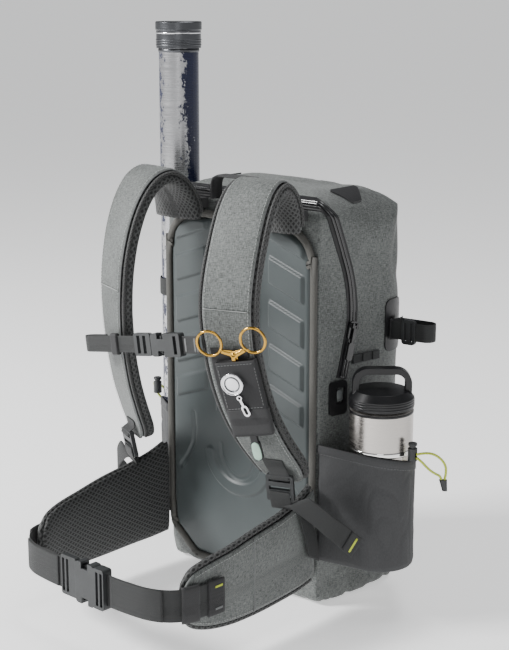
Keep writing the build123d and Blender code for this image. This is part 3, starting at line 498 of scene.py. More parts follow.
def cord(name, route, length, node, far_end, pieces=()):
    data = bpy.data.curves.new(name, "CURVE")
    data.dimensions = "3D"
    spline = data.splines.new("NURBS")
    spline.points.add(len(route) - 1)
    for point, place in zip(spline.points, route):
        point.co = (*(c / 1000 for c in place), 1)
    spline.order_u = 3
    spline.use_endpoint_u = True
    spline.resolution_u = 12
    data.bevel_depth = 0.0015
    data.bevel_resolution = 4
    data.use_fill_caps = True
    made = bpy.data.objects.new(name, data)
    bpy.context.collection.objects.link(made)
    made.data.materials.append(LIME_CORD)
    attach(made, "pack")
    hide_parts(node)
    return made


cord("cord_upper", UPPER, 0.0775, "pocket_cord_upper", "fitting", ["cord_end"])
cord("cord_lower", LOWER, 0.0620, "pocket_cord_lower", "fitting", ["cord_end"])
cord("cord_left", LEFT, 0.1360, "pocket_cord_left", "object")

# ---- bag body -------------------------------------------------------------------------
shell_tree = bvh_of(["back_shell", "front_shell", "zipper_track"])
patch_tree = bvh_of(["zipper_track", "welded_patches", "lash_tapes", "panel_border", "strap_yoke"])


def bag_point(p):
    """Where a ray from outside the bag towards its middle meets its skin."""
    core = Vector((min(0.085, max(-0.085, p.x)), min(0.03, max(-0.03, p.y)),
                   min(0.43, max(0.07, p.z))))
    return shell_tree.ray_cast(p, (core - p).normalized())[0]


def make_bag():
    work = bmesh.new()
    seen = 84
    for axis in range(3):
        for sign in (-1, 1):
            n = seen if axis != 2 else seen // 2
            rows = []
            for i in range(n + 1):
                row = []
                for j in range(seen + 1):
                    a, b = 2 * i / n - 1, 2 * j / seen - 1
                    unit_p = [0, 0, 0]
                    unit_p[axis] = sign
                    unit_p[(axis + 1) % 3], unit_p[(axis + 2) % 3] = a, b
                    p = Vector((unit_p[0] * 0.165, unit_p[1] * 0.105 + 0.003,
                                unit_p[2] * 0.27 + 0.2515))
                    row.append(work.verts.new(bag_point(p) or p))
                rows.append(row)
            for i in range(n):
                for j in range(seen):
                    work.faces.new((rows[i][j], rows[i + 1][j], rows[i + 1][j + 1], rows[i][j + 1]))
    bmesh.ops.remove_doubles(work, verts=work.verts, dist=0.0006)
    for _ in range(4):
        bmesh.ops.smooth_vert(work, verts=work.verts, factor=0.5, use_axis_x=True,
                              use_axis_y=True, use_axis_z=True)
    bmesh.ops.recalc_face_normals(work, faces=work.faces)
    mesh = bpy.data.meshes.new("bag_body")
    work.to_mesh(mesh)
    work.free()
    made = bpy.data.objects.new("bag_body", mesh)
    bpy.context.collection.objects.link(made)
    mesh.update()
    normals = [v.normal.copy() for v in mesh.vertices]
    for vert, normal in zip(mesh.vertices, normals):
        p = vert.co
        near = patch_tree.find_nearest(p, 0.03)[3]
        free = 1.0 if near is None else min(1.0, near / 0.03)
        low = max(0.0, 1 - p.z / 0.12)
        broad = noise.noise(p / 0.11 + Vector((3, 1, 8)))
        crease = abs(noise.noise(Vector((p.x / 0.05, p.y / 0.05, p.z / 0.10)) + Vector((9, 2, 4))))
        fold = abs(noise.noise(Vector((p.x, p.y, p.z * 2.2)) / 0.035 + Vector((1, 7, 2))))
        sink = 1.1 + 1.5 * broad + 2.0 * max(0.0, 0.16 - crease) / 0.16
        sink += 2.2 * low * max(0.0, 0.22 - fold) / 0.22
        vert.co = p - normal * (max(0.0, sink) * 0.001 * free + 0.0004)
    box_uv(made)
    return finish_piece(made, FABRIC, "pack", ["back_shell", "front_shell"])


make_bag()


def side_x(y):
    return 126 + 0.12353 * (y + 82)


def half_width(y, z):
    """Half width of the bag's skin at a place on its side."""
    wide = side_x(y)
    if z > 425:
        wide = min(wide, 69 + sqrt(max(0.0, 78 ** 2 - (z - 425) ** 2)))
    return wide


# ---- zipper: two glossy ribs over the taped slit --------------------------------------
def zip_side(offset, lift):
    """The zipper's line up the right side, over the back of the top and down the left side."""
    path = through([(-47, 282, 0), (-41.2, 306, 0), (-35.5, 329, 0), (-32.1, 352, 0),
                    (-32.8, 378, 0), (-37, 403, 0), (-46.5, 431, 0), (-58, 461, 0),
                    (-69.9, 489, 0)], 3.0)
    run = unit(np.gradient(path, axis=0))
    path = path + np.stack([-run[:, 1], run[:, 0], 0 * run[:, 0]], -1) * offset
    side = [(half_width(y, z) + lift * (1 if z < 430 else 0.8), y, z + (0 if z < 430 else lift * 0.5))
            for y, z, _ in path]
    x_top, y_top, z_top = side[-1]
    top = [(x, y_top - 0.3, z_top + 0.5) for x in np.linspace(x_top - 5, -x_top + 5, 60)]
    return np.array(side + top + [(-x, y, z) for x, y, z in side[::-1]])


for label, offset in (("a", -2.1), ("b", 2.1)):
    tube("zip_rib_" + label, zip_side(offset, 1.9), 2.0, GLOSS, "pack", sides=10)
for label, offset in (("a", -7.2), ("b", 7.2)):
    tube("zip_edge_" + label, zip_side(offset, 1.2), 0.7, TPU, "pack", sides=6)
for label, sign in SIDES:
    slot_insert = [(sign * (side_x(-50) + 1.5), y, z) for y, z in
                   ((-49.3, 255.5), (-49.8, 260), (-50.3, 264.5), (-50.7, 268.5))]
    tube(f"dock_slot_{label}", slot_insert, 5.4, GREY_TPU, "pack",
         squash=0.2, up=(1, 0, 0))

# ---- moulded back panel ---------------------------------------------------------------
PANEL = [(0, 22), (74, 22), (112, 52), (115, 84), (115, 458), (0, 458)]
CORNERS = (14, 14, 14, 54)
PANEL_Y, BORDER_Y = -82.2, -85.5    # the panel's back face and the binding's middle


def rounded(points, radii, count=9):
    """Open polyline with its inner corners rounded, in a plane."""
    points = [np.array(p, float) for p in points]
    out = [points[0]]
    for a, b, c, radius in zip(points, points[1:], points[2:], radii):
        u, v = unit(a - b), unit(c - b)
        turn = np.arccos(np.clip(u @ v, -1, 1))
        reach = min(radius / np.tan(turn / 2), 0.48 * np.linalg.norm(a - b),
                    0.48 * np.linalg.norm(c - b))
        p, q = b + u * reach, b + v * reach
        for t in np.linspace(0, 1, count):
            out.append((1 - t) ** 2 * p + 2 * t * (1 - t) * b + t * t * q)
    return np.array(out + [points[-1]])


outline = rounded(PANEL, CORNERS)


def smooth_step(value, low, high):
    t = np.clip((value - low) / (high - low), 0, 1)
    return t * t * (3 - 2 * t)


def line_distance(x, z, points):
    best = np.full(np.shape(x), 1e9)
    for (ax, az), (bx, bz) in zip(points, points[1:]):
        dx, dz = bx - ax, bz - az
        t = np.clip(((x - ax) * dx + (z - az) * dz) / (dx * dx + dz * dz), 0, 1)
        best = np.minimum(best, np.hypot(x - ax - t * dx, z - az - t * dz))
    return best


def make_panel():
    z_line = np.linspace(22.01, 457.9, 290)
    share = np.linspace(-1, 1, 171)
    lower = outline[outline[:, 1] < 84.1]
    upper = outline[outline[:, 1] > 403.9]
    hw = np.where(z_line < 84, np.interp(z_line, lower[:, 1], lower[:, 0]),
                  np.where(z_line > 404, np.interp(z_line, upper[:, 1], upper[:, 0]), 115.0))
    x = share[None, :] * hw[:, None]
    z = np.repeat(z_line[:, None], len(share), 1)
    edge = line_distance(np.abs(x), z, outline.tolist())
    ax = np.abs(x)
    rise = z + 0.34 * ax
    height = np.full(x.shape, 4.4)
    for low, high in ((424, 454), (371, 404), (318, 351), (266, 298), (222, 248)):
        in_height = smooth_step(rise, low + 37, low + 40.5) * (
            1 - smooth_step(rise, high + 36, high + 38.5))
        block = in_height * smooth_step(ax, 50, 53.5) * (1 - smooth_step(ax, 103.5, 107))
        height += 3.4 * block
    spine = (1 - smooth_step(ax, 34, 38)) * smooth_step(z, 216, 221) * (1 - smooth_step(z, 430, 435))
    height += 2.4 * spine
    groove = [(78, 206), (76, 186), (78, 167), (88, 148), (101, 132)]
    height -= 1.9 * (1 - smooth_step(line_distance(ax, z, groove), 1.5, 4.5))
    arch = np.array([(48 * cos(t), 165 - 42 * sin(t)) for t in np.linspace(0.1, pi - 0.1, 24)])
    height += 2.6 * (1 - smooth_step(line_distance(x, z, arch.tolist()), 6.0, 9.5))
    inner_arch = (arch * [0.62, 1] + [0, 14]).tolist()
    height -= 1.5 * (1 - smooth_step(line_distance(x, z, inner_arch), 1.2, 4))
    height = np.minimum(height, 7.95)
    height *= np.sqrt(1 - (1 - smooth_step(edge, -0.5, 7.0)) ** 2)
    pts = np.stack([x, PANEL_Y - height, z], -1)
    made = grid("panel_foam", pts, np.stack([x, z], -1))
    finish_piece(made, FOAM, "pack", ["back_panel_foam"])
    return made


make_panel()
border_path = np.concatenate([outline[::-1][:-1], (outline * [-1, 1])[:-1]])
border_pts = through([(x, BORDER_Y, z) for x, z in border_path] + [(0, BORDER_Y, 458)], 5.0)[:-1]
middle = np.array([0, BORDER_Y, 240])
away = unit(np.cross(unit(np.roll(border_pts, -1, 0) - np.roll(border_pts, 1, 0)), [0, 1, 0]))
away *= np.sign((away * (border_pts - middle)).sum(1))[:, None]
tube("panel_binding", border_pts + away * 4.9, 4.85, TAPE, "pack", closed=True,
     squash=0.7, sides=18, up=(0, 1, 0))
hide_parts("panel_border")


def tack(name, centre, along, across, out, size, mat, body, rows=7):
    """Bar tack: close parallel threads in a block, size (along, across)."""
    along, across, out = (unit(np.array(v, float)) for v in (along, across, out))
    lines, outs = [], []
    for k in range(rows):
        shift = (k / (rows - 1) - 0.5) * size[1]
        ends = [np.array(centre) + across * shift + along * (t * size[0] / 2) for t in (-1, 1)]
        lines.append(np.linspace(ends[0], ends[1], 4))
        outs.append(out)
    return stitches(name, lines, mat, body, outs, length=size[0] * 0.93, gap=size[0] * 0.05,
                    radius=0.42)


for label, sign in SIDES:
    tack("border_tack_" + label, (sign * 74, -89.0, 461.5), (sign * 0.985, 0, -0.17),
         (sign * 0.17, 0, 0.985), (0, -1, 0), (24, 2.4), GOLD_TACK, "pack", rows=4)

# ---- shoulder straps ------------------------------------------------------------------


def turned(angle):
    """Width direction that is turned about Z, in degrees from +X."""
    return (cos(radians(angle)), sin(radians(angle)), 0)


STRAP = [((80, -99, 462), turned(0), 1.05), ((81, -104, 486), turned(3), 1.05),
         ((83, -117, 508), turned(6), 1.03), ((86, -136, 519), turned(9), 1.0),
         ((90, -157, 512), turned(12), 1.0), ((93, -175, 490), turned(15), 1.0),
         ((95, -189, 458), turned(17), 1.0), ((95, -199, 420), turned(19), 1.0),
         ((95, -203, 384), turned(20), 1.0), ((97, -201, 345), turned(21), 0.97),
         ((100, -194, 305), turned(22), 0.97), ((105, -182, 265), turned(22), 0.97),
         ((112, -165, 228), turned(22), 0.97), ((121, -146, 196), turned(22), 0.92),
         ((127, -138, 178), turned(22), 0.7)]
SHELL_WIDTH, PAD_WIDTH = 58, 70
SHELL_FOOT, SHELL_FACE, PAD_INNER = 0.4, 4.4, -17.2    # heights off the strap's line
strap_line = Line([(p, w, SHELL_WIDTH * s) for p, w, s in STRAP], 3.0)
pad_line = Line([(p, w, PAD_WIDTH * s) for p, w, s in STRAP], 3.0)
seam_at = int(np.argmin(np.abs(strap_line.mid[:, 2] - 384) + (strap_line.s < 90) * 900))


def part_line(line, first, last):
    """The stretch of a line between two of its samples."""
    made = Line.__new__(Line)
    for key in ("mid", "across", "width", "out", "s"):
        setattr(made, key, getattr(line, key)[first:last])
    made.s = made.s - made.s[0]
    return made


for label, sign in SIDES:
    flip = np.array([sign, 1, 1])
    upper_part = part_line(strap_line, 0, seam_at + 1)
    lower_part = part_line(strap_line, seam_at - 1, None)
    strip(f"strap_face_{label}", upper_part, FABRIC, "pack", SHELL_FOOT, SHELL_FACE,
          power=3.6, sign=sign, ripple=0.5, seed=2 + sign, replaces=[f"strap_shell_{label}"])
    strip(f"strap_face_low_{label}", lower_part, FABRIC_DARK, "pack", 0.3, 4.0, power=3.6, sign=sign,
          ripple=0.5, seed=4 + sign, ends=(0, 7))
    pad = strip(f"strap_pad_{label}", pad_line, MESH, "pack", PAD_INNER, 0.9, power=2.6, sign=sign,
                ripple=0.35, seed=7, replaces=[f"strap_mesh_{label}"],
                ends=(0, 8))
    for side in (-1, 1):
        where = f"{label}_{'outer' if side * sign > 0 else 'inner'}"
        tube(f"strap_edge_{where}", strap_line.at(side * 0.985, 2.0)[2:-3] * flip, 1.0, THREAD_DARK,
             "pack", sides=6)
        tube(f"strap_piping_{where}", pad_line.at(side * 0.955, -1.4)[2:-3] * flip, 2.4, MESH_FINE,
             "pack", sides=8)
    rows = [strap_line.at(side * 0.91, 4.35)[3:-4] * flip for side in (-1, 1)]
    stitches(f"strap_stitch_{label}", rows, THREAD, "pack",
             [strap_line.out[3:-4] * flip] * 2)
    k = seam_at
    cross = [strap_line.mid[k] + strap_line.across[k] * (u * 27.5) + strap_line.out[k] * (
        4.65 - 0.5 * abs(u) ** 4) for u in np.linspace(-1, 1, 16)]
    tube(f"strap_seam_{label}", np.array(cross) * flip, 0.75, THREAD, "pack",
         sides=6, squash=0.6)

# ---- ladder locks' webbing ------------------------------------------------------------
LADDER_MID = np.array([128, -150.5, 172])
LADDER_ACROSS = np.array(turned(22))
LADDER = np.array([0.25, 0.3, -0.92])
LADDER = unit(LADDER - LADDER_ACROSS * (LADDER @ LADDER_ACROSS))
TAIL = [(LADDER_MID + LADDER * 26, LADDER_ACROSS, 25), ((146, -142, 155), (0.75, 0.3, 0.55), 25),
        ((160, -137, 149), (0.4, 0.15, 0.9), 25), ((178, -127, 134), (0.3, 0.2, 0.93), 25),
        ((190, -115, 120), (0.3, 0.35, 0.88), 25), ((198, -97, 102), (0.3, 0.45, 0.84), 25)]
LOWER_WEB = [((139.5, -104, 74), (0, -0.85, 0.5), 22), ((140, -108, 96), (0, -0.95, 0.3), 22),
             ((139, -116, 120), (0, -0.95, 0.3), 22), ((136.5, -124, 143), (0.2, -0.93, 0.3), 22)]
LADDER_OUT = np.cross(LADDER, LADDER_ACROSS)
TAB = [((119.9, -156.4, 205.2), turned(22), 25), ((122.9, -152.6, 195.4), turned(22), 25),
       (LADDER_MID - LADDER * 17.5 + LADDER_OUT * 0.6, LADDER_ACROSS, 25),
       (LADDER_MID - LADDER * 12 + LADDER_OUT * 4.6, LADDER_ACROSS, 25)]
ROOT = [(LADDER_MID + LADDER * 4 + LADDER_OUT * 3.6, LADDER_ACROSS, 25),
        (LADDER_MID + LADDER * 14 + LADDER_OUT * 3.6, LADDER_ACROSS, 25),
        (LADDER_MID + LADDER * 27 + LADDER_OUT * 0.6, LADDER_ACROSS, 25)]
tail_line, lower_line = Line(TAIL, 2.5), Line(LOWER_WEB, 3.0)
for label, sign in SIDES:
    strip(f"strap_tab_{label}", Line(TAB, 2.0), WEBBING, "pack", -0.8, 0.8, power=5, sign=sign,
          count=20)
    strip(f"tail_root_{label}", Line(ROOT, 2.0), WEBBING, f"ladder_lock_{label}", -0.8, 0.8,
          power=5, sign=sign, count=20)
for label, sign in SIDES:
    flip = np.array([sign, 1, 1])
    strip(f"tail_{label}", tail_line, WEBBING, "pack", -0.9, 0.9, power=5, sign=sign, count=20,
          ripple=0.25, replaces=[f"webbing_tail_{label}"])
    fold = part_line(tail_line, -8, None)
    strip(f"tail_fold_{label}", fold, WEBBING, "pack", 0.8, 2.6, power=5, sign=sign, count=20)
    end = tail_line.mid[-4] + tail_line.out[-4] * 2.8
    tack(f"tail_tack_{label}", end * flip, tail_line.across[-4] * flip,
         unit(tail_line.mid[-1] - tail_line.mid[-4]) * flip, tail_line.out[-4] * flip,
         (20, 1.8), LIME, "pack", rows=3)
    strip(f"lower_web_{label}", lower_line, WEBBING, f"hip_{label}", -0.9, 0.9, power=5, sign=sign,
          count=20, replaces=[f"lower_webbing_{label}"])

# ---- hip belt -------------------------------------------------------------------------
UP = (0, 0, 1)
WING = [((125, -93.5, 100), UP, 121), ((128, -120, 93), UP, 113), ((130.5, -155, 88), UP, 106),
        ((131.5, -195, 84), UP, 101), ((131, -235, 80), UP, 92), ((128.5, -268, 79), UP, 82),
        ((125, -290, 79), UP, 68), ((121, -305, 79), UP, 46)]
BELT = [((138.6, -256, 78), UP, 38), ((137.4, -274, 78), UP, 38),
        ((132, -302, 78), UP, 38), ((119, -321, 78), UP, 38), ((97, -332, 78), UP, 38),
        ((66, -336, 78), UP, 38), ((38.5, -337, 78), UP, 38)]
wing_line, belt_line = Line(WING, 3.0), Line(BELT, 3.0)
for label, sign in SIDES:
    body = f"hip_{label}"
    flip = np.array([sign, 1, 1])
    pad = strip(f"wing_pad_{label}", wing_line, MESH, body, -0.4, 9.3,
                power=2.8, sign=sign, ripple=0.6, seed=5, ends=(0, 16),
                replaces=[f"hip_pad_{label}"])
    strip(f"wing_face_{label}", wing_line, FABRIC, body, -6.2, 0.2, scale=0.93, power=3.4, sign=sign,
          ripple=0.7, seed=3, ends=(0, 14), replaces=[f"hip_shell_{label}"],
          trim=1.5)
    edge = []
    reach = wing_line.s[-1] - wing_line.s
    pull = 16 * (1 - np.sqrt(np.maximum(0, 1 - np.clip(1 - reach / 16, 0, 1) ** 2)))
    for side in (-1, 1):
        u = side * (wing_line.width / 2 - pull - 1.5)
        row = wing_line.mid + wing_line.across * u[:, None] + wing_line.out * 0.4
        edge.append(row if side < 0 else row[::-1])
    rim = through(np.concatenate(edge)[::2], 3.0)
    tube(f"wing_rim_{label}", rim * flip, 3.1, MESH, body, sides=10)
    inner_rim = []
    for side in (-1, 1):
        u = side * (wing_line.width * 0.465 - pull - 5.5)
        row = wing_line.mid + wing_line.across * u[:, None] - wing_line.out * 6.15
        inner_rim.append(row[3:-5] * flip)
    stitches(f"wing_stitch_{label}", inner_rim, THREAD, body, [-wing_line.out[3:-5] * flip] * 2)
    strip(f"belt_web_{label}", belt_line, WEBBING, body, -1.0, 1.0, power=5, sign=sign, count=24,
          ripple=0.2, replaces=[f"hip_webbing_{label}"])
    doubled = part_line(belt_line, -26, -2)
    strip(f"belt_double_{label}", doubled, WEBBING, body, -2.6, -1.1, power=5, sign=sign, count=20,
          scale=0.97)
    keeper = part_line(belt_line, 12, 20)
    strip(f"belt_keeper_{label}", keeper, ELASTIC, body, -3.6, 1.6, power=4, sign=sign, count=24,
          scale=1.12)
    patch = part_line(belt_line, 0, 9)
    strip(f"belt_patch_{label}", patch, BALLISTIC, body, -2.6, 1.2, power=5, sign=sign, count=20,
          scale=1.1)
    k = 3
    for shift in (-13, 13):
        at = belt_line.mid[k] + np.array([0, 0, shift]) - belt_line.out[k] * 2.8
        tack(f"belt_tack_{label}_{shift + 20}", at * flip, (0, 1, 0), UP, -belt_line.out[k] * flip,
             (13, 1.6), LIME if shift > 0 else THREAD_DARK, body, rows=3)
    k = int(np.argmin(np.abs(wing_line.mid[:, 1] + 205)))
    seam = [wing_line.mid[k] + np.array([0, 0, t * 47]) - wing_line.out[k] * (6.2 - 0.5 * t ** 4)
            for t in np.linspace(-0.93, 0.93, 12)]
    tube(f"wing_seam_{label}", np.array(seam) * flip, 0.8, THREAD_DARK, body, sides=6)

# ---- sternum strap --------------------------------------------------------------------
SLANT = radians(9)
CX = np.array([cos(SLANT), 0, sin(SLANT)])
CY = np.array([-sin(SLANT), 0, cos(SLANT)])
CHEST = np.array([0, -219.5, 332.0])


def chest(x, y=0.0, lift=0.0):
    return CHEST + CX * x + CY * y + np.array([0, -1, 0]) * lift


def chest_line(points, width):
    return Line([(chest(x, 0, lift), CY, width) for x, lift in points], 2.0)


# The loop at the left is one band that runs out, turns and comes back.
loop = [(-39, 0), (-60, 0), (-90, -0.2), (-112, -0.3), (-124, -0.6), (-130.5, -3), (-131.6, -5.5),
        (-129.5, -8.5), (-123, -10.2), (-112, -10.3), (-99, -10.0)]
strip("chest_web_left", chest_line(loop, 20), WEBBING, "sternum_male", -0.8, 0.8, power=5, count=20,
      replaces=["sternum_webbing_left"])
strip("chest_web_right", chest_line([(42, 0), (50, 0), (58, 0), (66, 0), (69, 0)], 20), WEBBING,
      "pack", -0.8, 0.8, power=5, count=20, replaces=["sternum_webbing_right"])
strip("chest_anchor", chest_line([(-79, 0), (-76, 0), (-72, 0), (-69, 0)], 25.5), ELASTIC, "pack",
      -3.3, 3.3, power=5, count=28, replaces=["sternum_anchor_left"])
for number, x in enumerate((47, 62, 66)):
    tack(f"chest_tack_{number}", chest(x, 0, 1.0), CY, CX, (0, -1, 0), (17, 1.4), THREAD_DARK,
         "pack", rows=3)

# ---- haul handle ----------------------------------------------------------------------
HAUL_HALF, HAUL_FOOT, HAUL_TOP = 35.5, 484, 512.5
haul = rounded([(-HAUL_HALF, HAUL_FOOT), (-HAUL_HALF, HAUL_TOP), (HAUL_HALF, HAUL_TOP),
                (HAUL_HALF, HAUL_FOOT)], (14, 14))
haul_curve = through([(x, z, 0) for x, z in haul], 4)[:, :2]
haul_line = Line([((x, -86, z), (0, 1, 0), 20) for x, z in haul_curve], 3.0)
strip("haul_loop", haul_line, ELASTIC, "haul_handle", -1.5, 1.5, power=4, count=22,
      replaces=["haul_handle"], scale=0.98)


# ---- side pockets ---------------------------------------------------------------------
def hull(circles, grow, count=720):
    """Convex outline round circles, as points."""
    angle = np.linspace(0, 2 * pi, count, endpoint=False)
    round_one = np.stack([np.cos(angle), np.sin(angle)], -1)
    cloud = np.concatenate([np.array([x, y]) + (r + grow) * round_one for x, y, r in circles])
    pts = sorted(map(tuple, cloud))
    chains = []
    for row in (pts, pts[::-1]):
        chain = []
        for p in row:
            while len(chain) > 1 and ((chain[-1][0] - chain[-2][0]) * (p[1] - chain[-2][1])
                                      - (chain[-1][1] - chain[-2][1]) * (p[0] - chain[-2][0])) <= 0:
                chain.pop()
            chain.append(p)
        chains += chain[:-1]
    return np.array(chains)


def even(points, count):
    s = np.concatenate([[0], np.cumsum(np.linalg.norm(np.diff(points, axis=0), axis=1))])
    t = np.linspace(0, s[-1], count)
    return np.stack([np.interp(t, s, points[:, k]) for k in range(points.shape[1])], -1)


POCKET_FLOOR = 62
HEM_REAR, HEM_FALL = 213, 45 / 200    # height at y = -110, and its fall per mm forwards
HEM_DEPTH = 11
WALL = 2.3


def pocket(label, sign, x, y, radius):
    """Stretch pocket with a rounded foot and a turned hem that slants down to the front."""
    circles = [(x, y, radius + 4.0), (129, -77, 6.5), (138, 48, 9.0)]
    ring_pts = hull(circles, 0)
    ring_pts = np.roll(ring_pts, -int(np.argmin(ring_pts[:, 0] + 0.2 * ring_pts[:, 1])), 0)
    ring_pts = np.concatenate([ring_pts, ring_pts[:1]])
    dense = even(ring_pts, 900)
    outside = dense[dense[:, 0] > side_x(dense[:, 1]) - 1.0]
    gap = int(np.argmax(np.linalg.norm(np.diff(outside, axis=0), axis=1)))
    if np.linalg.norm(outside[gap + 1] - outside[gap]) > 20:
        outside = np.concatenate([outside[gap + 1:], outside[:gap + 1]])
    path = even(outside, 130)
    run = unit(np.gradient(path, axis=0))
    out2 = np.stack([run[:, 1], -run[:, 0]], -1)
    if (out2[65] @ (path[65] - np.array([x - 60, y]))) < 0:
        out2 = -out2
    hem = HEM_REAR - (path[:, 1] + 110) * HEM_FALL
    rows = [(inset, POCKET_FLOOR + drop * np.ones(130)) for inset, drop in
            ((17, 0), (9, 0), (4.5, 0.2), (2.2, 1.0), (0.9, 2.6), (0, 8))]
    low = POCKET_FLOOR + 18
    for t in np.linspace(0.06, 1, 34):
        rows.append((0.0, low + (hem - low - HEM_DEPTH) * t))
    for inset, below in ((0.15, 10.2), (-0.35, 9.4), (-0.4, 5), (-0.3, 1.0), (0.3, 0.1), (1.2, 0),
                         (2.2, 0.7), (2.5, 9), (2.4, 10.5)):
        rows.append((inset, hem - below))
    for t in np.linspace(0.04, 1, 14):
        rows.append((WALL, hem - HEM_DEPTH - (hem - HEM_DEPTH - POCKET_FLOOR - 10) * t))
    pts, uv = [], []
    s = np.concatenate([[0], np.cumsum(np.linalg.norm(np.diff(path, axis=0), axis=1))])
    for number, (inset, z) in enumerate(rows):
        level = np.column_stack([path - out2 * inset, z])
        if 5 < number < 40:
            soft = waves(np.column_stack([path, z]), 42, 11 * sign) * 1.0
            place = np.column_stack([path[:, 0], path[:, 1] * 1.8, z * 0.6])
            crease = np.abs(waves(place, 24, 5 * sign))
            sink = 0.5 + soft * 0.7 + 1.1 * np.maximum(0, 0.2 - crease) / 0.2
            level[:, :2] -= out2 * np.maximum(0, sink)[:, None] * 0.8
        pts.append(level)
        uv.append(np.column_stack([s, z if number < 46 else 2 * hem - z]))
    pts = np.array(pts)
    pts[..., 0] = np.maximum(pts[..., 0], side_x(pts[..., 1]) - 0.5)
    pts *= np.array([sign, 1, 1])
    made = grid(f"pocket_{label}", pts, np.array(uv), flip=sign < 0)
    finish_piece(made, STRETCH, "pack", [f"side_pocket_{label}"])
    line = np.column_stack([path + out2 * 0.55, hem - 10.3])[3:-3]
    line[:, 0] *= sign
    outs = np.column_stack([out2 * [sign, 1], 0 * hem])[3:-3]
    stitches(f"pocket_stitch_{label}", [line], THREAD_DARK, "pack", [outs])
    return made


BOTTLE, TUBE_AT = (180, -32), (-164, -22)
BOTTLE_R, TUBE_R = 37.5, 25.4
pocket("right", 1, *BOTTLE, BOTTLE_R)
pocket("left", -1, -TUBE_AT[0], TUBE_AT[1], TUBE_R)


# ---- side straps ----------------------------------------------------------------------
def side_loop(label, sign, circles, z):
    ring_pts = hull(circles, -0.8, 240)
    dense = even(np.concatenate([ring_pts, ring_pts[:1]]), 400)[:-1]
    outside = dense[:, 0] > side_x(dense[:, 1]) + 1.5
    first = next(i for i in range(400) if outside[i] and not outside[i - 1])
    dense = np.roll(dense, -first, 0)[:int(outside.sum())]
    path = even(dense, 60)
    tilt = np.linspace(0, 1, 60)
    line = Line([((x, y, z + 0.8 * np.sin(3 * t)), UP, 22) for (x, y), t in zip(path, tilt)], 2.0)
    strip(f"side_strap_{label}", line, WEBBING, "pack", -0.8, 0.8, power=5, count=20, sign=sign,
          replaces=[f"rod_strap_{label}"])


side_loop("right", 1, [(186, 45, 11), (149, 41, 12)], 330)
side_loop("left", -1, [(-TUBE_AT[0], TUBE_AT[1], 28), (146, 40, 6)], 350)
for sign, z in ((1, 330), (-1, 350)):
    label = "right" if sign > 0 else "left"
    x0 = side_x(42) + 3.2
    hoop = [(x0 - 2.5, 30, z), (x0 + 0.6, 34, z), (x0 + 1.4, 42, z), (x0 + 0.6, 50, z),
            (x0 - 2.5, 54, z)]
    strip(f"patch_band_{label}", Line([(p, UP, 26) for p in hoop], 2.0), ELASTIC, "pack", -0.7, 0.7,
          power=5, count=20, sign=sign)

# ---- tool dock ------------------------------------------------------------------------
TR = unit(np.array([8, 19, -80.0]))
TO = unit(np.cross(TR, np.array(turned(22))))
TA = np.cross(TO, TR)
PIVOT = np.array([98, -199, 338]) + TA * 8 + TO * 10.8


def tools(x, y, z=0.0):
    """A place on the tools' own plane: y runs up the strap and z stands off it."""
    return PIVOT + TA * x - TR * y + TO * z


def dock_piece(name, low, high, width, bottom, top, mat, open_top=True, power=5.0):
    """Flat fabric sleeve between two heights, open at its mouth."""
    a, b = soft_box(44, power, 0)
    middle, deep = (bottom + top) / 2, (top - bottom) / 2
    rows, uv = [], []
    for h in np.linspace(low, high, 26):
        swell = 1 + 0.03 * sin((h - low) / (high - low) * 9)
        rows.append([tools(width / 2 * p, h, middle + deep * q * swell) for p, q in zip(a, b)])
        uv.append([(width / 2 * p, h) for p in a])
    if open_top:
        for h, wall in ((high, 1.1), (high - 9, 1.2)):
            rows.append([tools((width / 2 - wall) * p, h, middle + (deep - wall) * q)
                         for p, q in zip(a, b)])
            uv.append([(width / 2 * p, 2 * high - h) for p in a])
    made = grid(name, np.array(rows), np.array(uv), ring=True, caps=True)
    fix_normals(made)
    return finish_piece(made, mat, "pack")


dock = dock_piece("dock_sleeve", -98.5, -7.5, 49.4, -2.4, 6.3, BALLISTIC)
base_line = Line([(p, turned(22), 46) for p in ((97.4, -200.2, 341), (100, -194, 305),
                                                (105, -182, 265), (107.8, -175, 250))], 3.0)
strip("dock_base", base_line, BALLISTIC, "pack", 4.5, 6.1, power=5, count=20)
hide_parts("tool_dock")
dock_piece("dock_elastic", -96, -66, 50.4, -3.2, 6.45, ELASTIC, open_top=False)
dock_edges = [np.array([tools(x, y, 6.5) for x, y in row]) for row in (
    [(-22, y) for y in range(-62, -8, 6)], [(22, y) for y in range(-62, -8, 6)],
    [(x, -64) for x in range(-22, 23, 4)], [(x, -11) for x in range(-22, 23, 4)])]
stitches("dock_stitch", dock_edges, THREAD_DARK, "pack", [TO] * 4)

# ---- hard pieces' finer parts ---------------------------------------------------------


def lathe(name, centre, profile, mat, body, sides=72):
    """Turned ring or disc from an open or closed (radius, height) profile."""
    angle = np.linspace(0, 2 * pi, sides, endpoint=False)
    pts = np.array([[(centre[0] + r * cos(t), centre[1] + r * sin(t), z) for t in angle]
                    for r, z in profile])
    uv = np.array([[(t * 30, z) for t in angle] for _, z in profile])
    made = grid(name, pts, uv, ring=True)
    fix_normals(made)
    return finish_piece(made, mat, body)


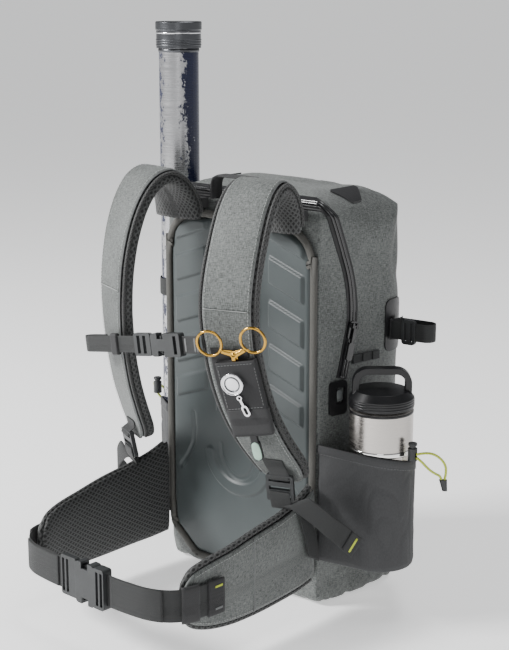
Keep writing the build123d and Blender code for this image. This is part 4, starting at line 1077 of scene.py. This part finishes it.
lathe("bottle_ring", BOTTLE, [(37.3, 201), (37.9, 201.6), (38.1, 203), (38.1, 206), (37.9, 207.4),
                              (37.3, 208)], BRIGHT, "bottle")
lathe("bottle_groove", BOTTLE, [(37.55, 249), (37.9, 249.6), (37.9, 251.4), (37.55, 252)], BLACK,
      "bottle")
for number, z in enumerate((258.5, 261.5, 264.5)):
    lathe(f"lid_rib_{number}", BOTTLE, [(37.9, z - 1.1), (38.5, z - 0.6), (38.5, z + 0.6),
                                        (37.9, z + 1.1)], BLACK, "bottle_lid")
for number, z in enumerate((661, 664, 667)):
    lathe(f"cap_rib_{number}", TUBE_AT, [(28.4, z - 0.9), (29.1, z - 0.5), (29.1, z + 0.5),
                                             (28.4, z + 0.9)], GUNMETAL, "tube_cap")
lathe("cap_groove", TUBE_AT, [(28.6, 675.0), (28.9, 675.4), (28.9, 676.4), (28.6, 676.8)], CHROME,
      "tube_cap")
lathe("tube_collar", TUBE_AT, [(25.4, 652), (26.2, 652.6), (26.2, 656), (25.4, 656.6)], GUNMETAL,
      "tube")

# Forceps: round wire over the flat rings, and a pivot screw.
RING_X, RING_Y, RING_R = 27, 15, 14.6
ring_turn = np.linspace(0, 2 * pi, 64, endpoint=False)
for side, body, height in ((-1, "forceps", 1.0), (1, "forceps_half", 3.15)):
    pts = [tools(side * RING_X + RING_R * cos(t), RING_Y + RING_R * sin(t), height) for t in ring_turn]
    tube(f"forceps_ring_{body}", pts, 1.55, GOLD, body, closed=True, sides=12,
         up=tuple(TO))
    arm = through([tools(side * x, y, height) for x, y in
                   ((1, 0.5), (6, 2.4), (11, 4), (15, 6.5))], 1.5)
    tube(f"forceps_arm_{body}", arm, 1.7, GOLD, body, sides=10, squash=0.75)
tube("forceps_screw", [tools(0, 0, 4.0), tools(0, 0, 4.6), tools(0, 0, 4.9)], 2.3, GOLD, "forceps",
     sides=16, up=tuple(TA))

# Retractor: domed disc with a bright rim.
CASE_X, CASE_Y = -7, -32
for radius, height, mat, name in ((12.4, 11.6, CHROME, "rim"), (8.6, 11.75, GUNMETAL, "inlay")):
    pts = [tools(CASE_X + radius * cos(t), CASE_Y + radius * sin(t), height) for t in ring_turn]
    tube(f"retractor_{name}", pts, 0.8, mat, "pack", closed=True, sides=8,
         up=tuple(TO))
rows = [[tools(CASE_X + r * cos(t), CASE_Y + r * sin(t), h) for t in ring_turn]
        for r, h in ((8.4, 11.5), (6.5, 12.0), (4, 12.4), (1.5, 12.6), (0.05, 12.62))]
dome = grid("retractor_dome", np.array(rows), np.array(rows)[..., :2], ring=True)
fix_normals(dome)
finish_piece(dome, CHROME, "pack")

# Nipper: mint grip pad over a black lever.
strip("nipper_grip", Line([(tools(-1, y, 4.2), TA, w) for y, w in
                           ((-107, 7), (-112, 9.6), (-118, 10.6), (-125, 10), (-129.5, 7))], 1.5),
      MINT, "nipper", -0.2, 1.6, power=2.6, count=20, ends=(3, 3))
lever = Line([(tools(-1, y, 2.2), TA, 11.4) for y in (-106, -112, -118, -125, -130)], 1.5)
strip("nipper_lever", lever, BLACK, "nipper", -1.7, 1.9, power=3, count=20, ends=(3, 4))

# ---- finishes of the CAD pieces -------------------------------------------------------
for mat, names in (
        (TPU, ["zipper_track", "welded_patches"]),
        (GLOSS, ["zipper_slider", "zipper_pull"]),
        (WEB_OBJ, ["lash_tapes"]),
        (LINING, ["inner_pocket", "strap_yoke"]),
        (SHEET, ["frame_sheet"]),
        (PLASTIC, ["ladder_lock_left", "ladder_lock_right", "hip_buckle_male", "hip_buckle_female",
                   "sternum_buckle_male", "sternum_buckle_female", "strap_slider_left",
                   "strap_slider_right", "cord_lock_left", "cord_lock_right",
                   "lock_plunger_left", "lock_plunger_right", "cord_end"]),
        (GOLD, ["forceps_pinned_half", "forceps_moving_half"]),
        (CHROME, ["retractor_case", "retractor_clip"]),
        (BLACK, ["line_nipper", "bottle_lid"]),
        (STEEL, ["bottle_body"]),
        (TUBE, ["rod_tube"]),
        (GUNMETAL, ["rod_tube_cap"])):
    for node in names:
        give(node, mat)

# ---- floor and light ------------------------------------------------------------------
floor_mesh = bpy.data.meshes.new("floor")
FLOOR_HALF = 900
floor_mesh.from_pydata([(x * FLOOR_HALF, y * FLOOR_HALF, 0) for x, y in
                        ((-1, -1), (1, -1), (1, 1), (-1, 1))], [], [(0, 1, 2, 3)])
floor = bpy.data.objects.new("floor", floor_mesh)
bpy.context.collection.objects.link(floor)
floor_mat = material("floor_pale", (0.92, 0.92, 0.92), 0.9, Emission_Strength=0.62,
                     Emission_Color=(1, 1, 1, 1))[0]
floor_mesh.materials.append(floor_mat)

world = bpy.data.worlds.new("studio")
bpy.context.scene.world = world
world.use_nodes = True
world.node_tree.nodes["Background"].inputs["Color"].default_value = (0.95, 0.97, 1.0, 1)
world.node_tree.nodes["Background"].inputs["Strength"].default_value = 0.26


def light(name, place, at, size, power, tall=None):
    data = bpy.data.lights.new(name, "AREA")
    data.shape = "RECTANGLE"
    data.size = size
    data.size_y = tall or size
    data.energy = power
    made = bpy.data.objects.new(name, data)
    bpy.context.collection.objects.link(made)
    made.location = place
    made.rotation_euler = (Vector(at) - Vector(place)).to_track_quat("-Z", "Y").to_euler()


light("key", (-1.45, -1.9, 1.7), (0, -0.05, 0.25), 0.7, 118)
light("fill", (1.6, -2.0, 1.2), (0, 0, 0.25), 0.9, 7)
light("top", (0.2, 0.5, 2.4), (0, 0, 0.3), 1.0, 20)
